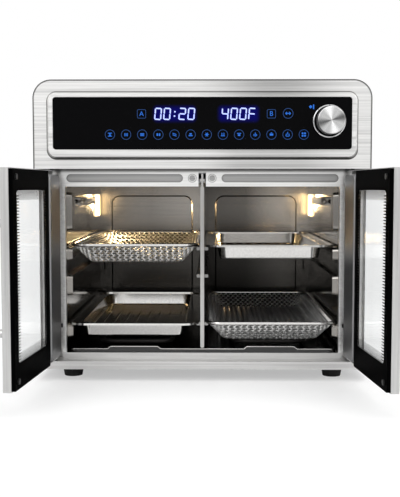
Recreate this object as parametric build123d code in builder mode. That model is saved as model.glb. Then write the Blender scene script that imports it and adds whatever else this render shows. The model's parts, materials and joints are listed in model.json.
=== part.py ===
"""Counter-top dual-zone toaster oven with two side-hinged doors.

Millimetres, X to the right, Y to the back, Z up. The origin lies on the table under the middle of the housing.
The doors are drawn closed and then swung open, which is how the oven stands at rest.
"""
import os

from build123d import *

os.makedirs("parts", exist_ok=True)

# Housing
body_width = 400.0
body_depth = 400.0
body_height = 345.0
foot_height = 13.6
housing_sheet = 0.8
housing_corner = 22.0
rear_flange = 10.0
fit_gap = 0.2
vent_length = 26.0
vent_width = 3.5
vent_pitch = 9.0
vent_count = 14

# Front fascia and its raised bezel
fascia_height = 104.6
fascia_sheet = 1.0
bezel_side = 16.0
bezel_top = 13.5
bezel_bottom = 10.5
bezel_raise = 4.0
bezel_taper = 40.0
bezel_corner = 12.0
bezel_face_side = 8.3
bezel_face_top = 7.5
bezel_face_bottom = 12.0
glass_corner = 3.5
glass_thickness = 3.2
glass_recess = 1.0
glass_seat = 5.0

# Controls
board_gap = 8.0
board_sheet = 1.6
board_margin = 9.0
display_width = 150.0
display_height = 26.0
knob_inset = 26.7
knob_rise = 2.2
knob_radius = 16.2
knob_height = 20.0
knob_gap = 3.5
knob_wall = 1.8
knob_ring_radius = 19.4
knob_ring_width = 2.2
knob_ring_height = 4.5
shaft_radius = 3.0
running_gap = 0.05
bush_wall = 1.2
encoder_side = 13.0

# Front frame, oven mouth and sill
frame_recess = 19.0
frame_sheet = 1.0
frame_tuck = 10.0
side_margin = 34.0
stile_width = 4.0
top_rail = 21.0
bottom_rail = 7.1
sill_height = 9.7
sill_bottom_depth = 12.0
sill_corner = 6.0
mouth_corner = 1.8
mouth_flange = 8.0
pocket_depth = 8.0
pill_inset = 6.0
pill_centre_gap = 23.4
pill_height = 9.7
pill_press = 2.0
pill_lift = 10.0
magnet_x = 12.0
magnet_radius = 4.6
magnet_proud = 1.5
magnet_length = 4.0
bumper_radius = 2.4
bumper_height = 40.0
bumper_gap = 0.3

# Oven cavity
cavity_depth = 352.0
cavity_sheet = 0.8
ceiling_rise = 4.0
lower_rail_rise = 33.5
middle_rail_rise = 93.5
upper_rail_rise = 127.5
lower_rail_height = 20.0
middle_rail_height = 26.0
upper_rail_height = 17.0
rail_press = 6.5
rail_draft = 0.7
rail_lead = 2.0
rail_corner = 5.0
rail_end_gap = 8.0
tray_headroom = 21.0
post_length = 26.0
post_top_gap = 7.0
back_panel_press = 2.5
back_panel_margin = 18.0
back_panel_corner = 14.0
bracket_width = 24.0
bracket_inset = 60.0

# Divider and its guide
divider_sheet = 2.4
divider_edge_width = 4.6
divider_edge_depth = 6.0
divider_rail = 6.0
divider_rail_height = 4.0
divider_rail_setback = 24.0
divider_head_width = 7.0
divider_head_height = 3.0
divider_front_gap = 3.0
guide_width = 13.0
guide_height = 12.0
guide_sheet = 1.0
slide_gap = 0.3

# Heat, air and light
fan_heater_gap = 7.0
fan_height = 14.0
fan_blades = 10
fan_blade_sheet = 1.2
fan_hub_radius = 9.0
fan_shaft_radius = 2.5
shroud_guide_gap = 1.0
shroud_height = 46.0
shroud_flange = 6.0
shroud_mouth_step = 8.0
guard_overlap = 6.0
guard_hole_radius = 4.0
guard_rim = 10.0
guard_rings = 4
motor_radius = 28.0
motor_height = 28.0
heater_radius = 3.0
heater_mouth_gap = 12.0
heater_clearance = 8.0
heater_half_spread = 45.0
heater_bend = 20.0
heater_front_gap = 36.0
heater_tail = 12.0
heater_gap_angle = 24.0
heater_sleeve = 0.6
collar_radius = 6.0
collar_length = 4.0
lamp_depth = 38.0
lamp_height = 34.0
lamp_back_gap = 44.0
lamp_top_gap = 29.0
lamp_proud = 3.0
lamp_flange = 3.0
lamp_flange_sheet = 1.5
lamp_unit_depth = 24.0
lamp_unit_sheet = 1.0
bulb_radius = 6.0
bulb_length = 12.0
probe_guard_length = 100.0
probe_guard_height = 10.0
probe_guard_reach = 9.0
probe_guard_sheet = 1.0
probe_top_gap = 20.0
probe_centre_back = 170.0
probe_radius = 2.0
probe_nose_radius = 3.4
probe_nose_reach = 6.0

# Power board and cord gland on the rear cover
power_board_width = 110.0
power_board_height = 64.0
power_board_inset = 110.0
power_board_lift = 60.0
standoff_length = 9.0
standoff_radius = 3.0
gland_inset = 80.0
gland_lift = 46.0
gland_radius = 8.0
gland_bore_radius = 4.2
gland_flange_radius = 12.0
gland_flange_sheet = 3.0
gland_length = 14.0

# Feet and screws
foot_top_radius = 13.5
foot_bottom_radius = 11.0
foot_side_inset = 40.0
foot_end_inset = 35.0
foot_recess_radius = 5.0
foot_recess_depth = 9.0
screw_head_radius = 3.6
screw_head_height = 2.4
screw_radius = 1.8
screw_length = 10.0
screw_gap = 0.2
screw_side_inset = 6.0
screw_end_inset = 40.0

# Doors
door_open_angle = 95.0
door_gap = 2.0
door_edge_gap = 2.0
door_meeting_gap = 2.0
hinge_inset = 21.0
hinge_depth = 5.0
door_shell_depth = 9.0
door_sheet = 1.0
door_tail_corner = 3.0
door_edge_round = 0.8
door_panel_sheet = 4.0
door_panel_edge = 1.0
door_cover_width = 43.0
door_cover_inset = 1.0
door_cover_sheet = 6.0
door_cover_gap = 1.0
door_cover_end_gap = 5.0
window_free_inset = 13.0
window_hinge_inset = 12.0
window_bottom = 27.5
window_top = 23.0
window_corner = 6.0
outer_window_free_inset = 44.0
outer_window_hinge_inset = 24.0
outer_window_bottom = 20.0
outer_window_top = 22.0
pane_overlap = 5.0
pane_thickness = 3.0
pane_recess = 0.4
hinge_pin_radius = 2.5
hinge_pin_reach = 10.0
hinge_block_height = 15.0
hinge_block_reach = 12.0
hinge_plate_sheet = 4.0
hinge_plate_length = 30.0
hinge_plate_width = 8.6
hinge_collar_radius = 4.0
boss_radius = 3.6
boss_end_inset = 9.6
door_screw_radius = 1.4
door_screw_head_radius = 3.0
door_screw_head_height = 1.6
door_screw_length = 9.0
handle_inset = 24.0
handle_length = 150.0
handle_width = 11.0
handle_thickness = 9.0
handle_finger_gap = 25.0
handle_post_radius = 4.5
handle_post_inset = 18.0
handle_round = 4.0

# Loose ware
rim_wall_gap = 2.5
rim_divider_gap = 2.8
tray_length = 322.0
tray_corner = 20.0
upper_tray_setback = 24.0
lower_tray_pull = 25.5
basket_wire_radius = 2.2
basket_depth = 22.0
basket_slope = 17.0
basket_sheet = 1.2
basket_corner = 14.0
pan_sheet = 1.0
pan_flange = 14.5
pan_depth = 17.0
pan_taper = 12.0
pan_corner = 14.0
pan_bead_width = 2.4
pan_bead_height = 1.4
pan_bend = 2.6
pan_ribs = 8
pan_rib_width = 3.0
pan_rib_height = 1.5
pan_rib_end_gap = 26.0
crumb_sheet = 0.8
crumb_rim = 3.2
crumb_side_gap = 0.2
crumb_end_gap = 6.0
crumb_front_gap = 2.0
crumb_corner = 12.0
grip_base = 73.0
grip_top = 57.0
grip_rise = 7.0
grip_sheet = 1.5

# Places worked out from the driving sizes
half_width = body_width / 2
front_y = -body_depth / 2
rear_y = body_depth / 2
base_z = foot_height
top_z = base_z + body_height
fascia_z = top_z - fascia_height
sill_z = base_z + sill_height
frame_y = front_y + frame_recess
frame_back_y = frame_y + frame_sheet
pocket_y = frame_y + pocket_depth
inner_half = half_width - housing_sheet - fit_gap
rear_inner_y = rear_y - housing_sheet
mouth_half = half_width - side_margin
mouth_z0 = sill_z + bottom_rail
mouth_z1 = fascia_z - top_rail
mouth_height = mouth_z1 - mouth_z0
stile_half = mouth_half + stile_width
cavity_half = mouth_half + frame_sheet
cavity_outer_half = cavity_half + cavity_sheet
cavity_back_y = frame_back_y + cavity_depth
cavity_mid_y = (frame_back_y + cavity_back_y) / 2
floor_z = mouth_z0
ceiling_z = mouth_z1 + ceiling_rise
ceiling_top_z = ceiling_z + cavity_sheet
lower_rail_z = mouth_z0 + lower_rail_rise
middle_rail_z = mouth_z0 + middle_rail_rise
upper_rail_z = mouth_z0 + upper_rail_rise
zone_x = cavity_half / 2
shroud_radius = zone_x - guide_width / 2 - shroud_guide_gap - shroud_flange
fan_mouth_radius = shroud_radius - shroud_mouth_step
heater_ring_radius = fan_mouth_radius - heater_mouth_gap
fan_radius = heater_ring_radius - fan_heater_gap
guard_ring_pitch = (fan_mouth_radius - guard_rim) / guard_rings

bezel_width = body_width - 2 * bezel_side
bezel_height = fascia_height - bezel_top - bezel_bottom
bezel_z = fascia_z + bezel_bottom + bezel_height / 2
glass_width = bezel_width - 2 * bezel_face_side
glass_height = bezel_height - bezel_face_top - bezel_face_bottom
glass_z = fascia_z + bezel_bottom + bezel_face_bottom + glass_height / 2
glass_front_y = front_y - bezel_raise + glass_recess
glass_back_y = glass_front_y + glass_thickness
board_y = glass_back_y + board_gap
knob_x = glass_width / 2 - knob_inset
knob_z = glass_z + knob_rise
bush_radius = shaft_radius + running_gap + bush_wall

power_board_x = half_width - power_board_inset
gland_x = -half_width + gland_inset
hinge_x = half_width - hinge_inset
hinge_y = front_y + hinge_depth
left_hinge = Axis((-hinge_x, hinge_y, 0), (0, 0, 1))
door_z0 = sill_z + door_gap
door_z1 = fascia_z - door_gap
door_height = door_z1 - door_z0
door_mid_z = (door_z0 + door_z1) / 2
door_free_x = -door_meeting_gap / 2
door_tail_x = -half_width + door_edge_gap
door_back_y = front_y + door_shell_depth

tray_outer_x = cavity_half - rim_wall_gap
tray_inner_x = divider_sheet / 2 + rim_divider_gap
tray_x = (tray_outer_x + tray_inner_x) / 2
tray_width = tray_outer_x - tray_inner_x
upper_tray_y = frame_y + upper_tray_setback
lower_tray_y = upper_tray_y - lower_tray_pull

sides = (-1, 1)


def facing(y):
    """Sketch plane at depth y, seen from the front: sketch x is X, sketch y is Z, out is to the front."""
    return Plane.XZ.offset(-y)


def across(x):
    """Sketch plane at x: sketch x is Y, sketch y is Z, out is to the right."""
    return Plane.YZ.offset(x)


def level(z):
    """Sketch plane at height z: sketch x is X, sketch y is Y, out is up."""
    return Plane.XY.offset(z)


def arch(plane, width, height, radius, bottom):
    """Rectangle that stands on its bottom edge and has round top corners."""
    with BuildSketch(plane) as outline:
        with Locations((0, bottom + height / 2)):
            Rectangle(width, height)
        fillet(outline.vertices().group_by(Axis.Y)[-1], radius)
    return outline.sketch


def rounded(plane, centre, width, height, radius):
    """One rectangle with round corners, no larger than its own half height."""
    with BuildSketch(plane) as outline:
        with Locations(centre):
            RectangleRounded(width, height, min(radius, 0.49 * width, 0.49 * height))
    return outline.sketch


def disc(plane, centres, radius):
    """Round outlines of one radius at each of the centres."""
    with BuildSketch(plane) as outlines:
        with Locations(*centres):
            Circle(radius)
    return outlines.sketch


def save(piece, name):
    piece.part.label = name
    export_step(piece.part, f"parts/{name}.step")


def save_twin(piece, name):
    """Write the mirror image of a left-hand piece as the right-hand one."""
    with BuildPart() as twin:
        mirror(piece.part, about=Plane.YZ)
    save(twin, name)


def save_door_piece(piece, name):
    """Swing a closed left-door piece open, and write it and its mirror image."""
    with BuildPart() as opened:
        add(piece.part.rotate(left_hinge, -door_open_angle))
    save(opened, f"left_{name}")
    save_twin(opened, f"right_{name}")


# Screw places used by the pieces that the screws go through
rear_screw_places = [
    (side * (half_width - screw_side_inset), z)
    for side in sides
    for z in (base_z + screw_end_inset, (base_z + top_z) / 2, top_z - screw_end_inset)
]
foot_places = [
    (x * (half_width - foot_side_inset), y * (body_depth / 2 - foot_end_inset)) for x in sides for y in sides
]
screw_hole = screw_radius + screw_gap

# Outer wrap: top and both sides in one bent sheet, with a flange at the rear
with BuildPart() as outer_wrap:
    extrude(
        arch(facing(frame_y), body_width, body_height, housing_corner, base_z),
        amount=-(rear_inner_y - frame_y),
    )
    extrude(
        arch(
            facing(frame_y),
            body_width - 2 * housing_sheet,
            body_height,
            housing_corner - housing_sheet,
            base_z - housing_sheet,
        ),
        amount=-(rear_inner_y - housing_sheet - frame_y),
        mode=Mode.SUBTRACT,
    )
    extrude(
        arch(
            facing(frame_y),
            body_width - 2 * housing_sheet - 2 * rear_flange,
            body_height,
            housing_corner - housing_sheet,
            base_z - housing_sheet - rear_flange,
        ),
        amount=-(rear_inner_y - frame_y),
        mode=Mode.SUBTRACT,
    )
    extrude(
        disc(facing(rear_inner_y), rear_screw_places, screw_hole),
        amount=2 * housing_sheet,
        mode=Mode.SUBTRACT,
    )
    with BuildSketch(across(-half_width)):
        with Locations((rear_inner_y / 2, top_z - fascia_height / 2)):
            with GridLocations(vent_pitch, vent_length, vent_count, 1):
                SlotOverall(vent_length, vent_width, rotation=90)
    extrude(amount=body_width, mode=Mode.SUBTRACT)
save(outer_wrap, "outer_wrap")

# Rear cover with vent slots, screw holes and the gland hole
with BuildPart() as rear_cover:
    extrude(
        arch(facing(rear_inner_y), body_width, body_height, housing_corner, base_z),
        amount=-housing_sheet,
    )
    with BuildSketch(facing(rear_inner_y)):
        with Locations(*rear_screw_places):
            Circle(screw_hole)
        with Locations((gland_x, base_z + gland_lift)):
            Circle(gland_radius + running_gap)
        with Locations((0, top_z - fascia_height / 2), (0, (base_z + fascia_z) / 2)):
            with GridLocations(vent_pitch, vent_length + vent_pitch, 2 * vent_count, 2):
                SlotOverall(vent_length, vent_width, rotation=90)
    extrude(amount=-housing_sheet, mode=Mode.SUBTRACT)
save(rear_cover, "rear_cover")

# Base pan with cooling slots and a hole over each foot
sill_back_y = front_y + sill_bottom_depth
pan_back_y = rear_inner_y - housing_sheet
with BuildPart() as base_pan:
    with BuildSketch(level(base_z)):
        with Locations((0, (sill_back_y + pan_back_y) / 2)):
            Rectangle(2 * inner_half, pan_back_y - sill_back_y)
        with Locations(*foot_places):
            Circle(screw_hole, mode=Mode.SUBTRACT)
        with GridLocations(vent_pitch * 2, vent_length * 2, vent_count // 2, 3):
            SlotOverall(vent_length, vent_width, rotation=90, mode=Mode.SUBTRACT)
    extrude(amount=housing_sheet)
save(base_pan, "base_pan")

# Bottom sill: front rail under the doors, a channel whose top carries the front frame
hinge_places = [(side * hinge_x, hinge_y) for side in sides]
sill_depth = frame_recess + pocket_depth + frame_sheet
with BuildPart() as bottom_sill:
    with BuildSketch(facing(front_y)) as sill_face:
        with Locations((0, base_z + sill_height / 2)):
            Rectangle(body_width, sill_height)
        fillet(sill_face.vertices().group_by(Axis.Y)[0], min(sill_corner, 0.9 * sill_height))
    extrude(amount=-fascia_sheet)
    with BuildSketch(level(sill_z)):
        with Locations((0, front_y + sill_depth / 2)):
            Rectangle(2 * inner_half, sill_depth)
        with Locations(*hinge_places):
            Circle(hinge_pin_radius, mode=Mode.SUBTRACT)
    extrude(amount=-fascia_sheet)
    with BuildSketch(level(base_z)):
        with Locations((0, front_y + sill_bottom_depth / 2)):
            Rectangle(body_width - 2 * sill_corner, sill_bottom_depth)
    extrude(amount=housing_sheet)
save(bottom_sill, "bottom_sill")

# Front fascia: shallow pan with a raised bezel and a seat for the control glass
with BuildPart() as front_fascia:
    extrude(arch(facing(front_y), body_width, fascia_height, housing_corner, fascia_z), amount=-frame_recess)
    extrude(
        arch(
            facing(front_y + fascia_sheet),
            body_width - 2 * fascia_sheet,
            fascia_height - 2 * fascia_sheet,
            housing_corner - fascia_sheet,
            fascia_z + fascia_sheet,
        ),
        amount=-frame_recess,
        mode=Mode.SUBTRACT,
    )
    extrude(
        rounded(facing(front_y), (0, bezel_z), bezel_width, bezel_height, bezel_corner),
        amount=bezel_raise,
        taper=bezel_taper,
    )
    extrude(
        rounded(
            facing(front_y + fascia_sheet),
            (0, bezel_z),
            bezel_width - 2 * fascia_sheet,
            bezel_height - 2 * fascia_sheet,
            bezel_corner - fascia_sheet,
        ),
        amount=bezel_raise,
        taper=bezel_taper,
        mode=Mode.SUBTRACT,
    )
    extrude(
        rounded(
            facing(front_y - bezel_raise + fascia_sheet / 2),
            (0, glass_z),
            glass_width + 2 * fascia_sheet,
            glass_height + 2 * fascia_sheet,
            glass_corner + fascia_sheet,
        ),
        amount=-(glass_back_y + fascia_sheet - front_y + bezel_raise - fascia_sheet / 2),
    )
    extrude(
        rounded(
            facing(front_y - bezel_raise),
            (0, glass_z),
            glass_width + 2 * fit_gap,
            glass_height + 2 * fit_gap,
            glass_corner + fit_gap,
        ),
        amount=-(glass_back_y - front_y + bezel_raise),
        mode=Mode.SUBTRACT,
    )
    extrude(
        rounded(
            facing(front_y - bezel_raise),
            (0, glass_z),
            glass_width - 2 * glass_seat,
            glass_height - 2 * glass_seat,
            glass_corner,
        ),
        amount=-(glass_back_y + 2 * fascia_sheet - front_y + bezel_raise),
        mode=Mode.SUBTRACT,
    )
    extrude(disc(level(fascia_z), hinge_places, hinge_pin_radius), amount=fascia_sheet, mode=Mode.SUBTRACT)
save(front_fascia, "front_fascia")

# Control glass with the hole for the encoder bush
with BuildPart() as control_glass:
    extrude(
        rounded(facing(glass_front_y), (0, glass_z), glass_width, glass_height, glass_corner),
        amount=-glass_thickness,
    )
    extrude(
        disc(facing(glass_front_y), [(knob_x, knob_z)], bush_radius + fit_gap),
        amount=-glass_thickness,
        mode=Mode.SUBTRACT,
    )
save(control_glass, "control_glass")

# Display board: circuit board with the display block that lies against the glass
board_width = glass_width - 2 * glass_seat - 2 * board_margin
board_height = glass_height - 2 * glass_seat - board_margin
with BuildPart() as display_board:
    extrude(
        rounded(facing(board_y), (0, glass_z), board_width, board_height, glass_corner),
        amount=-board_sheet,
    )
    extrude(
        rounded(facing(glass_back_y), (0, glass_z), display_width, display_height, glass_corner),
        amount=-board_gap,
    )
save(display_board, "display_board")

# Rotary encoder body between the glass and the board, with its bush through the glass
bush_front_y = glass_front_y - fascia_sheet
with BuildPart() as encoder_body:
    extrude(
        rounded(facing(glass_back_y), (knob_x, knob_z), encoder_side, encoder_side, fascia_sheet),
        amount=-board_gap,
    )
    extrude(
        disc(facing(bush_front_y), [(knob_x, knob_z)], bush_radius),
        amount=-(glass_back_y - bush_front_y),
    )
    extrude(
        disc(facing(bush_front_y), [(knob_x, knob_z)], shaft_radius + running_gap),
        amount=-(glass_back_y - bush_front_y + board_gap / 2),
        mode=Mode.SUBTRACT,
    )
save(encoder_body, "encoder_body")

# Encoder shaft, from inside the encoder to the knob's boss
knob_back_y = glass_front_y - knob_gap
knob_front_y = knob_back_y - knob_height
with BuildPart() as encoder_shaft:
    extrude(
        disc(facing(glass_back_y + board_gap / 2 - fascia_sheet), [(knob_x, knob_z)], shaft_radius),
        amount=glass_back_y + board_gap / 2 - fascia_sheet - knob_front_y - 2 * knob_wall,
    )
save(encoder_shaft, "encoder_shaft")

# Knob: hollow cup with a boss on the shaft and a round front edge
with BuildPart() as control_knob:
    extrude(disc(facing(knob_back_y), [(knob_x, knob_z)], knob_radius), amount=knob_height)
    fillet(control_knob.faces().sort_by(Axis.Y)[0].edges(), knob_wall * 0.8)
    with BuildSketch(facing(knob_back_y)):
        with Locations((knob_x, knob_z)):
            Circle(knob_radius - knob_wall)
            Circle(shaft_radius + knob_wall, mode=Mode.SUBTRACT)
    extrude(amount=knob_height - 2 * knob_wall, mode=Mode.SUBTRACT)
    extrude(
        disc(facing(knob_back_y), [(knob_x, knob_z)], shaft_radius),
        amount=knob_height - 2 * knob_wall,
        mode=Mode.SUBTRACT,
    )
save(control_knob, "control_knob")

# Knob trim ring on the glass
with BuildPart() as knob_ring:
    with BuildSketch(facing(glass_front_y)):
        with Locations((knob_x, knob_z)):
            Circle(knob_ring_radius)
            Circle(knob_ring_radius - knob_ring_width, mode=Mode.SUBTRACT)
    extrude(amount=knob_ring_height)
    fillet(knob_ring.faces().sort_by(Axis.Y)[0].edges(), knob_ring_width * 0.4)
save(knob_ring, "knob_ring")

# Front frame: plate with the oven mouth, a flange into the cavity and a pocket at each side for the door tails
frame_top_z = fascia_z + frame_tuck
guide_slot = divider_head_width + 2
magnet_z = mouth_z1 + pill_lift
magnet_places = [(side * magnet_x, magnet_z) for side in sides]
pill_half = stile_half - pill_inset
pill_length = pill_half - pill_centre_gap
pill_places = [side * (pill_half + pill_centre_gap) / 2 for side in sides]
with BuildPart() as front_frame:
    with BuildSketch(level(sill_z)):
        with Locations((0, frame_y + frame_sheet / 2)):
            Rectangle(2 * stile_half, frame_sheet)
        for side in sides:
            with Locations((side * (stile_half - frame_sheet / 2), (frame_y + pocket_y + frame_sheet) / 2)):
                Rectangle(frame_sheet, pocket_depth + frame_sheet)
            with Locations((side * (stile_half - frame_sheet + inner_half) / 2, pocket_y + frame_sheet / 2)):
                Rectangle(inner_half - stile_half + frame_sheet, frame_sheet)
    extrude(amount=frame_top_z - sill_z)
    extrude(
        rounded(
            facing(frame_y),
            (0, mouth_z0 + mouth_height / 2),
            2 * cavity_half,
            mouth_height + 2 * frame_sheet,
            mouth_corner + frame_sheet,
        ),
        amount=-mouth_flange,
    )
    extrude(
        rounded(
            facing(frame_y),
            (0, mouth_z0 + mouth_height / 2),
            2 * mouth_half,
            mouth_height,
            mouth_corner,
        ),
        amount=-mouth_flange,
        mode=Mode.SUBTRACT,
    )
    with BuildSketch(facing(frame_back_y)):
        with Locations((0, mouth_z0 - cavity_sheet)):
            Rectangle(2 * cavity_half, 2 * cavity_sheet + 2 * frame_sheet)
    extrude(amount=-mouth_flange, mode=Mode.SUBTRACT)
    for pill_x in pill_places:
        extrude(
            rounded(
                facing(frame_back_y),
                (pill_x, magnet_z),
                pill_length + 2 * frame_sheet,
                pill_height + 2 * frame_sheet,
                pill_height,
            ),
            amount=-pill_press,
        )
    for pill_x in pill_places:
        extrude(
            rounded(facing(frame_y), (pill_x, magnet_z), pill_length, pill_height, pill_height),
            amount=-pill_press,
            mode=Mode.SUBTRACT,
        )
    extrude(disc(facing(frame_y), magnet_places, magnet_radius), amount=-frame_sheet, mode=Mode.SUBTRACT)
    with BuildSketch(facing(frame_y)):
        with Locations((0, (mouth_z1 + ceiling_top_z + guide_height) / 2)):
            Rectangle(guide_slot, ceiling_top_z + guide_height - mouth_z1)
    extrude(amount=-2 * mouth_flange, mode=Mode.SUBTRACT)
save(front_frame, "front_frame")

# Latch magnets in the top rail
with BuildPart() as latch_magnets:
    extrude(disc(facing(frame_y - magnet_proud), magnet_places, magnet_radius), amount=-magnet_length)
save(latch_magnets, "latch_magnets")

# Door bumpers: rubber stops on the pocket walls, met by the door tails when the doors stand open
tail_reach = hinge_x + door_tail_x
bumper_y = frame_y + bumper_radius
open_tail = Vector(0, door_back_y - hinge_y, 0).rotate(Axis.Z, -door_open_angle)
open_run = Vector(1, 0, 0).rotate(Axis.Z, -door_open_angle)
tail_at_bumper = (bumper_y - hinge_y - open_tail.Y) / open_run.Y
bumper_tip_x = -hinge_x + open_tail.X + open_run.X * tail_at_bumper + bumper_gap
with BuildPart() as left_bumper:
    extrude(
        disc(across(-stile_half), [(bumper_y, sill_z + bumper_height)], bumper_radius),
        amount=-(-stile_half - bumper_tip_x),
    )
with BuildPart() as door_bumpers:
    add(left_bumper.part)
    mirror(left_bumper.part, about=Plane.YZ)
save(door_bumpers, "door_bumpers")

# Cavity side walls: pressed rails for the trays, a short post above the upper rail, a hole for the lamp
rail_y0 = frame_back_y + mouth_flange + rail_end_gap
rail_y1 = cavity_back_y - rail_end_gap
lamp_y = cavity_back_y - lamp_back_gap
lamp_z = mouth_z1 - lamp_top_gap
post_z0 = upper_rail_z + tray_headroom
post_z1 = mouth_z1 - post_top_gap
rail_blocks = [
    (rail_y0, rail_y1, lower_rail_z - lower_rail_height, lower_rail_z),
    (rail_y0, rail_y1, middle_rail_z - middle_rail_height, middle_rail_z),
    (rail_y0, rail_y1, upper_rail_z - upper_rail_height, upper_rail_z),
    (rail_y0, rail_y0 + post_length, post_z0, post_z1),
]
with BuildPart() as cavity_left_wall:
    with BuildSketch(across(-cavity_outer_half)):
        with Locations((cavity_mid_y, (floor_z - cavity_sheet + ceiling_top_z) / 2)):
            Rectangle(cavity_depth, ceiling_top_z - floor_z + cavity_sheet)
        with Locations((lamp_y, lamp_z)):
            RectangleRounded(lamp_depth, lamp_height, rail_corner, mode=Mode.SUBTRACT)
    extrude(amount=cavity_sheet)
    for y0, y1, z0, z1 in rail_blocks:
        middle = ((y0 + y1) / 2, (z0 + z1) / 2)
        loft(
            [
                rounded(across(-cavity_half), middle, y1 - y0, z1 - z0, rail_corner),
                rounded(
                    across(-cavity_half + rail_press),
                    middle,
                    y1 - y0 - 2 * rail_lead,
                    z1 - z0 - 2 * rail_draft,
                    rail_corner,
                ),
            ]
        )
    for y0, y1, z0, z1 in rail_blocks:
        middle = ((y0 + y1) / 2, (z0 + z1) / 2)
        loft(
            [
                rounded(
                    across(-cavity_outer_half),
                    middle,
                    y1 - y0 - 2 * cavity_sheet,
                    z1 - z0 - 2 * cavity_sheet,
                    rail_corner - cavity_sheet,
                ),
                rounded(
                    across(-cavity_outer_half + rail_press),
                    middle,
                    y1 - y0 - 2 * rail_lead - 2 * cavity_sheet,
                    z1 - z0 - 2 * rail_draft - 2 * cavity_sheet,
                    rail_corner - cavity_sheet,
                ),
            ],
            mode=Mode.SUBTRACT,
        )
save(cavity_left_wall, "cavity_left_wall")
save_twin(cavity_left_wall, "cavity_right_wall")

# Cavity back wall with a pressed panel in each zone and holes for the lower heaters
lower_heater_z = floor_z + heater_clearance
heater_places = [
    (side * zone_x + end * heater_half_spread, lower_heater_z) for side in sides for end in sides
]
panel_width = cavity_half - 2 * back_panel_margin
panel_height = ceiling_z - lower_heater_z - 2 * back_panel_margin
panel_z = lower_heater_z + back_panel_margin + panel_height / 2
with BuildPart() as cavity_back_wall:
    with BuildSketch(facing(cavity_back_y)):
        with Locations((0, (floor_z - cavity_sheet + ceiling_top_z) / 2)):
            Rectangle(2 * cavity_outer_half, ceiling_top_z - floor_z + cavity_sheet)
        with Locations(*heater_places):
            Circle(heater_radius + fit_gap, mode=Mode.SUBTRACT)
    extrude(amount=-cavity_sheet)
    for side in sides:
        extrude(
            rounded(
                facing(cavity_back_y),
                (side * zone_x, panel_z),
                panel_width,
                panel_height,
                back_panel_corner,
            ),
            amount=back_panel_press,
            taper=bezel_taper,
        )
    for side in sides:
        extrude(
            rounded(
                facing(cavity_back_y + cavity_sheet),
                (side * zone_x, panel_z),
                panel_width - 2 * cavity_sheet,
                panel_height - 2 * cavity_sheet,
                back_panel_corner - cavity_sheet,
            ),
            amount=back_panel_press,
            taper=bezel_taper,
            mode=Mode.SUBTRACT,
        )
save(cavity_back_wall, "cavity_back_wall")

# Cavity floor
with BuildPart() as cavity_floor:
    with BuildSketch(level(floor_z)):
        with Locations((0, cavity_mid_y)):
            Rectangle(2 * cavity_half, cavity_depth)
    extrude(amount=-cavity_sheet)
save(cavity_floor, "cavity_floor")

guide_y0 = frame_back_y + pill_press
guide_length = cavity_back_y - guide_y0

# Cavity ceiling with the two fan mouths and the slot that the divider hangs through
fan_places = [(side * zone_x, cavity_mid_y) for side in sides]
heater_ends = [
    (x + heater_ring_radius * Vector(1, 0, 0).rotate(Axis.Z, turn).X,
     cavity_mid_y + heater_ring_radius * Vector(1, 0, 0).rotate(Axis.Z, turn).Y)
    for x, y in fan_places
    for turn in (heater_gap_angle, -heater_gap_angle)
]
sleeve_radius = heater_radius + heater_sleeve
slot_back_gap = rail_end_gap / 2
with BuildPart() as cavity_ceiling:
    with BuildSketch(level(ceiling_z)):
        with Locations((0, guide_y0 + guide_length / 2)):
            Rectangle(2 * cavity_half, guide_length)
        with Locations((0, guide_y0 + (guide_length - slot_back_gap) / 2)):
            Rectangle(guide_slot, guide_length - slot_back_gap, mode=Mode.SUBTRACT)
        with Locations(*fan_places):
            Circle(fan_mouth_radius, mode=Mode.SUBTRACT)
    extrude(amount=cavity_sheet)
save(cavity_ceiling, "cavity_ceiling")

# Divider guide: channel over the ceiling slot, whose lips carry the divider's head
guide_slit = divider_sheet + 4 * slide_gap
with BuildPart() as divider_guide:
    with BuildSketch(facing(guide_y0)):
        with Locations((0, ceiling_top_z + guide_height / 2)):
            Rectangle(guide_width, guide_height)
            Rectangle(guide_width - 2 * guide_sheet, guide_height - 2 * guide_sheet, mode=Mode.SUBTRACT)
        with Locations((0, ceiling_top_z)):
            Rectangle(guide_slit, 3 * guide_sheet, mode=Mode.SUBTRACT)
    extrude(amount=-guide_length)
save(divider_guide, "divider_guide")

# Cavity brackets: two channels that carry the cavity floor on the base pan
bracket_z = base_z + housing_sheet
with BuildPart() as cavity_brackets:
    with BuildSketch(facing(cavity_mid_y - cavity_depth / 2 + bracket_inset)):
        for side in sides:
            with Locations((side * zone_x, (bracket_z + floor_z - cavity_sheet) / 2)):
                Rectangle(bracket_width, floor_z - cavity_sheet - bracket_z)
            with Locations((side * zone_x, (bracket_z + floor_z - cavity_sheet) / 2 - frame_sheet)):
                Rectangle(
                    bracket_width - 2 * frame_sheet,
                    floor_z - cavity_sheet - bracket_z,
                    mode=Mode.SUBTRACT,
                )
    extrude(amount=-(cavity_depth - 2 * bracket_inset))
save(cavity_brackets, "cavity_brackets")

# Fan shrouds: round cups on the ceiling with holes for the fan shaft and the heater tails
shroud_top_z = ceiling_top_z + shroud_height
with BuildPart() as fan_shrouds:
    extrude(disc(level(ceiling_top_z), fan_places, shroud_radius), amount=shroud_height)
    extrude(disc(level(ceiling_top_z), fan_places, shroud_radius + shroud_flange), amount=cavity_sheet)
    extrude(
        disc(level(ceiling_top_z), fan_places, shroud_radius - cavity_sheet),
        amount=shroud_height - cavity_sheet,
        mode=Mode.SUBTRACT,
    )
    extrude(
        disc(level(ceiling_top_z), fan_places, 2 * fan_shaft_radius),
        amount=shroud_height,
        mode=Mode.SUBTRACT,
    )
    extrude(
        disc(level(ceiling_top_z), heater_ends, sleeve_radius + fit_gap),
        amount=shroud_height,
        mode=Mode.SUBTRACT,
    )
save(fan_shrouds, "fan_shrouds")

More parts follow.
